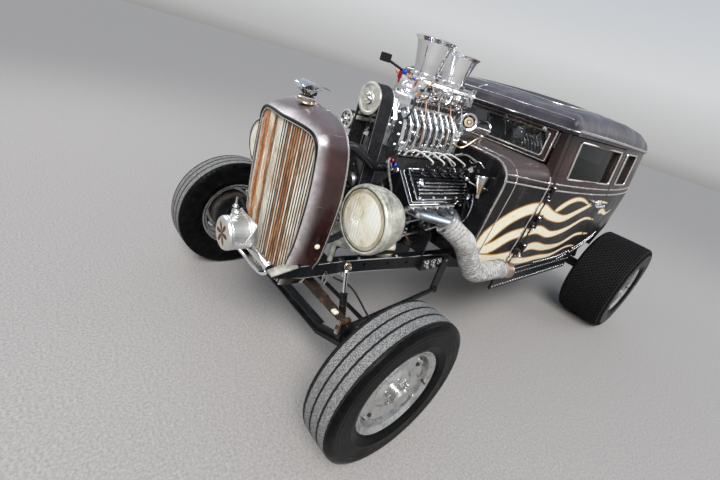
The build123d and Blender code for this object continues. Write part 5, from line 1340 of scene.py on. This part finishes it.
def make_firewall():
    """Coil with its bands, funnel, terminal blocks, pipes and pressed beads."""
    form = Form()
    form.lathe((290, 772, 1030), (0.1, 0, 1), [
        (0, 12), (2, 21), (12, 22), (16, 23.5), (22, 23.5), (24, 22), (56, 22), (58, 23.5), (64, 23.5), (68, 18),
        (76, 8), (84, 6.5)], 24, [2, 2, 1, 1, 1, 2, 1, 1, 1, 0, 0])
    form.lathe((378, 768, 1095), (0.2, 0, -1), [
        (0, 6), (1, 34), (6, 36), (10, 34), (45, 23), (85, 12), (100, 8.5), (120, 8.5)], 28, [1, 1, 1, 0, 3, 3, 0])
    for side in form.sides():
        form.block((165, 783, 955), (235, 797, 985), 2, 3)
        for i in range(4):
            form.bolt((200 + side * (17.3 * i - 26), 783, 970), AHEAD, 4.5, 6, 0)
        hoses(form, (
            (((325, 775, 1000), (345, 765, 930), (360, 770, 840), (385, 785, 740)), 7.5, 2),
            (((360, 785, 980), (385, 775, 930), (385, 775, 860), (360, 780, 800)), 4, 1),
            (((180, 785, 1000), (230, 770, 1020), (260, 770, 1080), (310, 785, 1120)), 3.2, 3),
            (((220, 785, 980), (260, 765, 1000), (300, 760, 970), (330, 785, 920)), 3.2, 0),
            (((250, 785, 1140), (290, 770, 1130), (330, 765, 1150), (360, 785, 1130)), 2.8, 1)))
        for z in (800, 850, 900):
            form.tube([(60, 798, z), (300, 798, z)], 5, 8, 2)
    form.piece("firewall_fittings", "chassis", ("bolt_steel", "chrome", "cover_black", "brass"),
               "polished_aluminium", 38)


def make_block():
    """Timing cover and sump bolts, water pumps, core plugs, mounts, filter and pipes of the block."""
    form = Form()
    for _ in form.sides():
        for x, z in ((80, 610), (115, 690), (100, 760), (75, 830), (55, 885)):
            form.bolt((x, 296.2, z), AHEAD, 5.5, 7, 0)
        for i in range(8):
            form.bolt((100, 350 + 58 * i, 622), DOWN, 5.5, 7, 0, washer=False)
        form.lathe((70, 296.5, 870), AHEAD, [(0, 42), (10, 40), (20, 30), (22, TIP)], 28, 1)
        form.tube(flow([(70, 280, 870), (110, 260, 840), (150, 240, 760), (150, 100, 660), (150, -20, 640)], 6),
                  18, 14, 2)
    for _ in form.sides():
        for y in (400, 530, 660):
            form.lathe((195.5, y, 750), OUT, [(0, 30), (3, 30), (3, 25), (-1, 21), (-1, TIP)], 28, 0)
        form.block((180, 500, 618), (250, 600, 630), 4, 3)
        form.lathe((235, 550, 630), UP, [(0, 30), (4, 34), (20, 30), (32, 32), (36, TIP)], 24, 2)
        form.block((190, 525, 662), (250, 575, 674), 4, 3)
        form.tube(flow([(240, 340, 660), (250, 450, 690), (240, 620, 700), (260, 760, 740)], 7), 8, 10, 1)
        hoses(form, (
            (((220, 330, 800), (245, 400, 770), (250, 560, 785), (230, 740, 800)), 5.5, 0),
            (((260, 360, 740), (275, 440, 720), (270, 520, 660), (250, 600, 650)), 4.5, 5)), 7)
        form.lathe((235, 330, 700), BACK, [
            (0, TIP), (0, 36), (10, 42), (100, 42), (106, 37), (110, 20), (160, 18), (160, TIP)], 28,
            [1, 1, 1, 4, 4, 0, 0])
        for i in range(9):
            form.bolt((200, 345 + 50 * i, 700 + 12 * (i % 2)), OUT, 6.5, 9, 0)
        for y, z in ((360, 830), (460, 850), (600, 850), (720, 840)):
            form.lathe((215, y, z), (1, 0, -0.2), [(0, 14), (10, 13), (12, 9), (22, 8), (23, TIP)], 14, 1)
    form.lathe((170, 450, 660), (0.5, -0.2, -0.85), [(0, 45), (80, 45), (90, 40), (92, TIP)], 32, 3)
    form.tube(flow([(-200, 500, 720), (-220, 490, 800), (-300, 400, 920), (-290, 350, 1000)], 6), 4.5, 8, 0)
    form.lathe((200, 760, 640), AHEAD, [(0, 35), (100, 35), (104, 30), (106, TIP)], 28, 1)
    form.piece("block_detail", "chassis", (
        "bolt_steel", "cast_aluminium", "hose_rubber", "art_cream", "frame_black", "copper"), "frame_black", 38)


def make_headers():
    """Blued pipes, banded wrap and the coppery tip, on both sides."""
    form = Form()
    port = bank(345, 84, 0)
    for y, x1, y1, z1 in ((385, 510, 470, 894), (480, 498, 478, 852), (575, 524, 520, 858), (670, 540, 560, 820)):
        start, corner, end = Vector((port.x, y, port.z)), Vector((port.x + 60, y, port.z)), Vector((x1, y1, z1))
        a, b = (corner + (p - corner).normalized() * 29.5 for p in (start, end))
        bend = [a * (1 - t) ** 2 + corner * 2 * t * (1 - t) + b * t * t for t in (0.2, 0.4, 0.6, 0.8)]
        form.tube([start, a] + bend + [b, b + (end - b) * 0.6, end], 22.2, 22, 0)
        form.lathe(start - Vector((4, 0, 0)), OUT, [(0, 22), (2, 25.5), (7, 25.5), (9, 22)], 22, 0)
        for step in (-28, 28):
            form.bolt(bank(345 + step, 90.5, y - step * 0.6), ACROSS, 6.5, 9, 2)
    # Wrap: overlapping turns of tape round the collector
    path = flow([(474, 446, 888), (506, 483, 863), (546, 530, 826), (565, 580, 772), (577, 640, 698), (586, 710, 639),
                 (589, 800, 629), (589.5, 900, 623.5), (590, 995, 618.5)], 38)
    sides, tape, travelled = 30, 18.5, 0.0
    rings, phases = [], []
    across = Vector(UP)
    for i, p in enumerate(path):
        travelled += (p - path[max(i - 1, 0)]).length
        ahead = (path[min(i + 1, len(path) - 1)] - path[max(i - 1, 0)]).normalized()
        across = (across - ahead * across.dot(ahead)).normalized()
        up = ahead.cross(across)
        phases.append([(travelled / tape + k / sides
                        + 0.12 * noise.noise(Vector((travelled * 0.009, k * 0.25, 1)))) % 1.0 for k in range(sides)])
        ring = []
        for k, (c, s) in enumerate(circle(1, sides)):
            crease = 0.8 * noise.noise(Vector((k * 0.7, travelled * 0.06, 3)))
            ring.append(p + (across * c + up * s) * (51.2 + 3.4 * (1 - phases[i][k]) + crease))
        rings.append(ring)
    form.grid(rings, lambda i, j: 4 if phases[i][j] > 0.88 else 1)
    # Clamps and the loose end of the tape
    for i in (3, len(path) - 4):
        form.lathe(path[i], path[i + 1] - path[i - 1], [(-5, 54), (-5, 56.2), (5, 56.2), (5, 54)], 36, 2)
        form.bolt(path[i] + Vector((0, 0, 59.5)), OUT, 5, 14, 2, washer=False)
    form.lathe((589, 985, 618.5), (15, 100, -17.5), [
        (6, 55.5), (18, 55.8), (20, 44.5), (50, 43.8), (90, 43.8), (100.8, 45.5), (102, 44), (101.5, 38.2),
        (40, 37.6)], 40, 3)
    for name, side in SIDES:
        form.on(side).piece(f"{name}_header_skin", "chassis", (
            "header_steel", "header_wrap", "bolt_steel", "pipe_tip", "wrap_seam"), "header_wrap", 60)


# Body

def make_skin():
    """The painted body as one searchable surface."""
    verts, faces = [], []
    for node in ("cowl", "windshield_posts", "left_door", "right_door", "body_tub", "roof"):
        mesh = NODES[node].data
        start = len(verts)
        verts += [Vector((v.co.x, v.co.y - AXLE_Y, v.co.z)) / MM for v in mesh.vertices]
        faces += [tuple(start + i for i in polygon.vertices) for polygon in mesh.polygons]
    return BVHTree.FromPolygons(verts, faces)


SKIN = make_skin()
# Ends of the door and of the gaps round it, along the car
DOOR, GAPS = (1141.2, 1865.8), (1133.5, 1873.5)


def press(x, y, z, side, lift):
    """The left-hand point of a side's skin at y and z, lifted off it; x is used where there is none."""
    hit, normal, _, _ = SKIN.ray_cast(Vector((side * 1100, y, z)), Vector((-side, 0, 0)), 750)
    if hit is None:
        return Vector((x, y, z))
    if normal.x * side < 0:
        normal = -normal
    hit += normal * lift
    return Vector((hit.x * side, hit.y, hit.z))


def press_down(x, y, lift=0.0):
    """The point of the roof or cowl above x and y."""
    hit, _, _, _ = SKIN.ray_cast(Vector((x, y, 1800)), Vector(DOWN), 1000)
    return hit + Vector((0, 0, lift)) if hit else None


def side_x(y):
    """Half the body's width at the belt."""
    t = (y - 1090) / 1470
    return 585 + 17 * t + 264 * t * (1 - t)


def lean_in(z):
    """How far the windows' wall stands inboard of the belt, as a negative number."""
    return -12 - 24 * (z - 1185) / 260


def parts_of(points):
    """Cuts a line that runs along the car at the door's gaps: (on the door, points) for each run."""
    runs = {False: [[]], True: [[]]}
    for p in points:
        owner = True if DOOR[0] < p.y < DOOR[1] else None if GAPS[0] < p.y < GAPS[1] else False
        for key in runs:
            if key is owner:
                runs[key][-1].append(p)
            elif runs[key][-1]:
                runs[key].append([])
    return [(key, run) for key, rows in runs.items() for run in rows if len(run) > 1]


def frame_line(y0, y1):
    """A rounded rectangle that frames a side window."""
    points = [Vector((side_x(y) + lean_in(z) + 2.5, y, z)) for y, z in rounded(y0, y1, 1182.5, 1387.5, 12, 7)]
    return points + [points[0]]


def make_side_trim(name, side):
    """Mouldings, window frames, hinges, handle, drip rail and rivets of one side."""
    still, door = Form(side), Form(side)

    def edge(y):
        return 490 + 95.6 * (y - 800) / 299

    for z, r in ((1113, 5.2), (1147, 4.6)):
        line = [press(edge(y), y, z, side, 1.2) for y in range(803, 2808, 12)]
        for on_door, run in parts_of(line):
            (door if on_door else still).tube(run, r, 8, 0)
    door.tube(frame_line(1242.5, 1814.5), 6.2, 8, 0)
    still.tube(frame_line(1942.5, 2222.5), 6.2, 8, 0)
    # Edges of the cowl and a bead ahead of the door
    for y, r in ((803.5, 6.2), (872, 3.6), (1095.5, 5)):
        top = 1190 + 30 * (y - 800) / 299
        still.tube([press(edge(y), y, z, side, 1) for z in range(598, 1198, 20) if z < top], r, 8, 0)
    for z in (717, 897, 1077):
        x = side_x(1137) + 12
        for body, y, lift in ((still, 1115, 0), (door, 1161, 34)):
            body.bolt((x + 0.2, y, z + lift), OUT, 4.5, 4, 1, washer=False)
        for body, shift, way in ((still, -18, DOWN), (door, 52, UP)):
            body.lathe((x, 1137, z + shift), way, [(-1, 9.2), (1, 10.5), (4, 9), (7, TIP)], 14, 1)
    root = side_x(1790)
    door.lathe((root, 1790, 1050), OUT, [
        (-2, 24), (2, 23.5), (5, 19), (8, 12), (30, 9.8), (46, 9.8), (50, TIP)], 28, 1)
    door.tube(flow([(root + 40, 1800, 1050), (root + 42, 1760, 1050), (root + 41, 1720, 1049),
                    (root + 36, 1690, 1047)], 5), [9.5] * 5 + [10.5] * 5 + [9.8] * 5 + [6], 12, 1)
    # Drip rail from the visor round to the back
    ribs = ((1030, 622), (1110, 612), (1300, 606), (1600, 624), (1900, 636), (2250, 618), (2560, 576),
            (2700, 512), (2790, 420))
    rail = flow([(x + 3.5, y, 1437.5 - 12 * max(0.0, (y - 1600) / 1200)) for y, x in ribs], 6)
    still.tube(rail, 6.2, 8, 0, section=[
        (1, 0.2), (0.7, 0.8), (0, 1), (-0.8, 0.7), (-1, 0), (-0.7, -0.8), (0, -1), (0.7, -0.7)])
    still.tube([p + Vector((4.5, 0, 6)) for p in rail], 2.6, 6, 0)
    # Rivets and seam of the apron
    for z, pitch, size in ((572, 34, 6.8), (500, 42, 6), (435, 34, 6.8)):
        for y in range(1130, 2280, pitch):
            still.rivet((545.9, y, z), size, 5, 1)
    sweep = flow([(0, 1420, 612), (0, 1600, 628), (0, 1740, 645), (0, 1950, 700), (0, 2100, 750),
                  (0, 2220, 795)], 40)
    for drop in (0, 34):
        for on_door, run in parts_of([p - Vector((0, 0, drop)) for p in sweep[::5]]):
            for p in run:
                at = press(490, p.y, p.z, side, -0.5)
                if at.x > 550 and p.z > 608:
                    (door if on_door else still).rivet(at, 6.2, 5, 1)
    still.tube([(546.3, 1118, 538), (546.3, 2284, 538)], 2.6, 6, 1)
    still.piece(f"{name}_body_trim", "chassis", ("trim", "chrome"), "chrome", 40)
    door.piece(f"{name}_door_trim", f"{name}_door", ("trim", "chrome"), "chrome", 40)


def make_trim():
    """Trim of both sides, then the beads, lamps and wiper on the body's middle."""
    for name, side in SIDES:
        make_side_trim(name, side)
    form = Form()
    # Beads of the windshield, the visor, the cowl and the rear window
    for half, z0, z1, r, corner in ((477.5, 1262.5, 1389.5, 5.5, 14), (509, 1243, 1408.5, 4, 6)):
        bead = [(x, 1068.5, z) for x, z in rounded(-half, half, z0, z1, corner, 6)]
        form.tube(bead + [bead[0]], r, 8, 0)
    form.tube([(-611, 981.5, 1432.5), (611, 981.5, 1432.5)], 4.2, 8, 0)
    for _ in form.sides():
        form.tube([(612.5, 981.5, 1432.5), (621.5, 1000, 1432.5), (623.5, 1030, 1432.5)], 4.2, 8, 0)
    visor = [press_down(x, 990, 0.4) or Vector((x, 990, z)) for x, z in (
        (-590, 1453), (-500, 1476), (-250, 1483), (0, 1486.5), (250, 1483), (500, 1476), (590, 1453))]
    form.tube(flow(visor, 4), 3.2, 8, 0)
    lines = [([press_down(0, y) for y in (802, 900, 1000, 1060)], 5.5)]
    lines += [([press_down(-470 + 940 * k / 28, y, -0.5) for k in range(29)], r)
              for y, r in ((803.5, 6.2), (872, 3.6))]
    for line, r in lines:
        form.tube([p for p in line if p], r, 8, 0)
    for _ in form.sides():
        form.lathe((440, 1066, 1400), AHEAD, [(0, 12), (8, 12), (12, 8), (13, TIP)], 16, 1)
    for a, b, r, sides, paint in (
            ((200, 1066, 1398), (200, 1050, 1396), 7, 12, 1), ((200, 1052, 1394), (240, 1060, 1300), 3, 6, 1),
            ((247, 1062.5, 1365), (233, 1062.5, 1270), 3.5, 6, 2)):
        form.tube([a, b], r, sides, paint)
    bead = [(x, 2850.5 + 0.5 * lean_in(z), z) for x, z in rounded(-262, 262, 1208, 1362, 17, 6)]
    form.tube(bead + [bead[0]], 6, 8, 0)
    # Small round tail lamps and their bezels
    for _ in form.sides():
        form.lathe((270, 2832, 860), (0, 1, 0.05), [(0, 42), (10, 42), (16, 36), (14, 31)], 28, 1)
        form.lathe((270, 2835, 860), (0, 1, 0.05), [(6, 32), (16, 30), (22, 18), (24, TIP)], 28, 3)
    form.piece("body_brightwork", "chassis", ("trim", "chrome", "hose_rubber", "lamp_red"), "chrome", 40)


def make_roof_insert():
    """The soft dark panel let into the roof, with a bead round it."""
    form = Form()
    half, corner, y0, y1 = 430, 120, 1200, 2600
    columns, rows = 28, 44
    grid = []
    for j in range(rows + 1):
        y = y0 + (y1 - y0) * j / rows
        end = min(1.0, min(y - y0, y1 - y) / corner)
        reach = half - 100 * (1 - sqrt(max(0.0, 1 - (1 - end) ** 2)))
        line = []
        for i in range(columns + 1):
            x = reach * (2 * i / columns - 1)
            inside = min(1, i, columns - i, j, rows - j)
            line.append(press_down(x, y, 2.5 * inside - 0.5 + 0.6 * sin(x * 0.04) * sin(y * 0.025)))
        grid.append(line)
    width = columns + 1
    form.add([p for line in grid for p in line], [
        (a, a + 1, a + width + 1, a + width)
        for j in range(rows) for a in range(j * width, j * width + columns)], 0)
    border = grid[0] + [line[-1] for line in grid[1:]] + grid[-1][-2::-1] + [line[0] for line in grid[-2::-1]]
    form.tube([p + Vector((0, 0, 1.5)) for p in border], 4.8, 8, 1)
    form.piece("roof_insert", "chassis", ("roof_insert", "trim"), "roof_paint", 60)


# Painted flames on the sides: a line of (y, z) and its widest half-width
FLAMES = (
    (((835, 660), (875, 800), (970, 930), (1110, 1000), (1270, 960), (1420, 945), (1580, 1000), (1780, 1060),
      (2020, 1050)), 41),
    (((835, 690), (930, 720), (1040, 815), (1200, 865), (1360, 835), (1520, 865), (1720, 940), (1920, 925)), 34),
    (((840, 660), (960, 635), (1100, 675), (1240, 750), (1400, 735), (1560, 750), (1740, 820), (1980, 810)), 36),
    (((1110, 650), (1250, 635), (1400, 655), (1560, 665), (1720, 720), (1870, 715)), 22),
    (((1280, 990), (1400, 1060), (1520, 1075), (1660, 1045)), 17),
    (((1920, 990), (2020, 985), (2140, 960), (2280, 985)), 18),
)


def make_flames():
    """Cream flames edged in gold and brown, laid on the painted skin."""
    for name, side in SIDES:
        still, door = Form(side), Form(side)
        for points, widest in FLAMES:
            line = flow([(0, y, z) for y, z in points], 22)
            last = len(line) - 1
            for layer, (grow, lift) in enumerate(((16.5, 0.6), (9.5, 0.9), (0, 1.2))):
                rows = []
                for i, p in enumerate(line):
                    t = i / last
                    width = widest * min(1.0, t / 0.12) ** 0.6 * (1 - t) ** 0.75 + 1.2 + grow * (1 - 0.6 * t)
                    ahead = line[min(i + 1, last)] - line[max(i - 1, 0)]
                    square = Vector((0, -ahead.z, ahead.y)).normalized()
                    spots = [p + square * width * share for share in (-1.0, -0.5, 0.0, 0.5, 1.0)]
                    rows.append([press(490, q.y, q.z, side, lift) for q in spots])
                for a, b in zip(rows, rows[1:]):
                    for quad in zip(a, b, b[1:], a[1:]):
                        xs, ys = [q.x for q in quad], [q.y for q in quad]
                        if max(xs) - min(xs) > 30:
                            continue
                        if min(ys) > 1141 and max(ys) < 1866:
                            target = door
                        elif max(ys) < 1100 or min(ys) > 1874 or (min(ys) > 1100 and max(ys) < 1133.5):
                            target = still
                        else:
                            continue
                        target.add([target.place(q) for q in quad], [(0, 1, 2, 3)[::side]], layer)
        looks = ("art_brown", "art_gold", "art_cream")
        still.piece(f"{name}_body_flames", "chassis", looks, "patina_paint", 60)
        door.piece(f"{name}_door_flames", f"{name}_door", looks, "door_black", 60)


# Cabin

def pad(form, middle, half, rounding, crown, pleats, lean=0.0):
    """A crowned closed cushion with sewn channels across its top."""
    turn = Matrix.Rotation(lean, 3, "X")
    counts = (60, 16, 8)
    for axis in range(3):
        u, v = (axis + 1) % 3, (axis + 2) % 3
        nu, nv = counts[u], counts[v]
        for way in (-1, 1):
            verts = []
            for i in range(nu + 1):
                for j in range(nv + 1):
                    p = [0.0, 0.0, 0.0]
                    p[axis], p[u], p[v] = way, 2 * i / nu - 1, 2 * j / nv - 1
                    full = Vector([p[k] * half[k] for k in range(3)])
                    inner = Vector([max(rounding - half[k], min(half[k] - rounding, full[k])) for k in range(3)])
                    spot = inner + (full - inner).normalized() * rounding
                    spot[axis] += way * crown * (1 - p[u] ** 4) * (1 - p[v] ** 4)
                    channel = abs(sin(p[0] * pi * pleats / 2))
                    if axis == 2 and way > 0:
                        spot[2] += 11 * (channel ** 0.5 - 0.6) * (1 - p[1] ** 6)
                    if axis == 1 and abs(p[0]) < 0.98:
                        spot[1] += way * 4 * channel ** 0.6
                    verts.append(Vector(middle) + turn @ spot)
            form.add(verts, [(a, a + nv + 1, a + nv + 2, a + 1)[::way]
                             for i in range(nu) for a in range(i * (nv + 1), i * (nv + 1) + nv)], 0)


def make_cabin():
    """Pleated bench, gauges, column rings, gear lever and the steering wheel's hub."""
    form = Form()
    pad(form, (0, 1790, 742), (474, 242, 108), 45, 6, 14)
    pad(form, (0, 2078, 982), (474, 186, 56), 45, 3, 14, radians(78))
    seat = form.piece("bench_cushions", "chassis", ("seat_hide",), "tan_leather", 70, ("bench_seat",))
    weld = seat.modifiers.new("weld", "WELD")
    weld.merge_threshold = 0.0006
    form = Form()
    # Gauges: bezel, dial, ticks and hand
    for x, r in ((330, 42), (230, 30), (430, 30), (-100, 50), (-240, 30)):
        at = (x, 1180.5, 1125)
        form.lathe(at, BACK, [(0, r + 6), (5, r + 6), (7, r + 2), (4, r)], 32, 0)
        form.lathe(at, BACK, [(3, r), (3.2, TIP)], 32, 1)
        for k in range(9):
            angle = radians(32 * k - 40)
            form.tube([(x + cos(angle) * r * reach, 1184.5, 1125 + sin(angle) * r * reach)
                       for reach in (0.72, 0.92)], 0.8, 4, 2)
        form.tube([(x, 1186, 1125), (x + 0.6 * r * cos(2.0), 1186, 1125 + 0.6 * r * sin(2.0))], 1.2, 4, 3)
    for z in (1056, 1190):
        form.tube([(-490, 1184, z), (490, 1184, z)], 4, 8, 0)
    way = Vector((0, 0.41, 0.23)).normalized()
    for share in (0.35, 0.62, 0.95):
        form.lathe(Vector((330, 1010, 800)) + way * share * 470, way, [
            (-12, 20.2), (-10, 24.5), (10, 24.5), (12, 20.2)], 24, 0)
    form.tube(flow([(0, 1280, 740), (0, 1310, 860), (10, 1360, 950), (10, 1400, 1000)], 6), 6, 10, 0)
    form.lathe((10, 1398, 996), (0, 0.45, 0.6), [(0, 12), (8, 21), (22, 24), (36, 18), (42, TIP)], 20, 2)
    form.piece("cabin_detail", "chassis", ("chrome", "art_cream", "near_black_and_painted_shade", "fitting_red"), "chrome", 40)
    form = Form()
    form.lathe(Vector((330, 1420, 1030)) + way * 41.8, way, [
        (-1, 34.5), (4, 34), (10, 26), (13, 14), (13.5, TIP)], 28, 0)
    form.piece("wheel_hub", "steering_wheel", ("chrome",), "chrome", 40)
    # Lining inside the doors
    for name, side in SIDES:
        form = Form(side)
        section = ((65.5, 640), (65.5, 1160), (50.5, 1160), (50.5, 640))
        form.prism([[(side_x(y) - inset, y, z) for inset, z in section] for y in range(1180, 1841, 66)], 0)
        form.piece(f"{name}_door_lining", f"{name}_door", ("seat_hide",), "tan_leather", 40)


def make_rear():
    """Axle cover, brake lines and shock covers behind."""
    form = Form()
    form.lathe((0, 2670, 380), BACK, [
        (135, 118), (142, 120), (148, 116), (165, 90), (176, 50), (178, TIP)], 40, 0)
    for c, s in circle(108, 10):
        form.bolt((c, 2817, 380 + s), BACK, 6, 7, 1)
    foot, head = Vector((468, 2560, 640)), Vector((480, 2664, 428))
    length = (head - foot).length
    for _ in form.sides():
        form.tube(flow([(100, 2710, 440), (300, 2712, 415), (560, 2710, 400)], 6), 3.5, 8, 1)
        form.lathe((600, 2670, 380), OUT, [(-4, 127), (0, 128.5), (3, 127)], 48, 1)
        form.lathe(foot, head - foot, [
            (0.4 * length, 10.2), (0.42 * length, 18.2), (length - 14, 18.2), (length - 13.5, 9.5)], 24, 0)
    form.piece("rear_fittings", "chassis", ("frame_black", "bolt_steel"), "frame_black", 38)


# The car

# Each CAD node's look
PAINTS = {
    "patina_brown": ("grille_shell", "windshield_frame", "dashboard"),
    "body_two_tone_sky_reflection": ("cowl", "windshield_posts", "body_tub", "left_door", "right_door"),
    "roof_grey": ("roof",),
    "frame_black": ("frame_rails", "crossmembers", "front_axle", "floor_pan", "radius_rods", "rear_axle", "tie_rod",
                    "left_knuckle", "right_knuckle", "radiator", "engine_block"),
    "cover_black": ("valve_covers", "cylinder_heads", "firewall"),
    "rusty_iron": ("front_spring",),
    "bar_grey": ("grille_bars",),
    "polished": ("blower_case", "injector_body"),
    "cast_aluminium": ("gearbox",),
    "cast_dark": ("intake_manifold",),
    "spun": ("velocity_stacks",),
    "spun_tank": ("fuel_canister",),
    "chrome": ("shock_absorbers",),
    "lamp_shell": ("headlamp_buckets",),
    "lamp_lens": ("headlamp_lenses",),
    "window_glass": ("left_door_glass", "right_door_glass"),
    "screen_glass": ("body_glass",),
    "belt_rubber": ("drive_belt", "steering_wheel"),
    "hose_rubber": ("radiator_hose",),
    "header_wrap": ("exhaust_headers",),
    "rim_silver": ("left_front_rim", "right_front_rim", "left_rear_rim", "right_rear_rim"),
    "tyre_wall": ("left_front_tyre", "right_front_tyre", "left_rear_tyre", "right_rear_tyre"),
    "seat_hide": ("bench_seat",),
}

for make in (make_paints, make_metals, make_rubbers, make_lamp_looks, make_other_looks, set_camera, set_stage):
    make()
for look_name, node_names in PAINTS.items():
    for node_name in node_names:
        node_mesh = NODES[node_name].data
        node_mesh.materials.clear()
        node_mesh.materials.append(LOOKS[look_name])
for make in (
        make_wheels, make_grille, make_cap, make_lamps, make_canister, make_nose, make_front_end, make_pulleys,
        make_blower, make_injector, make_heads, make_firewall, make_block, make_headers, make_trim,
        make_roof_insert, make_flames, make_cabin, make_rear):
    make()
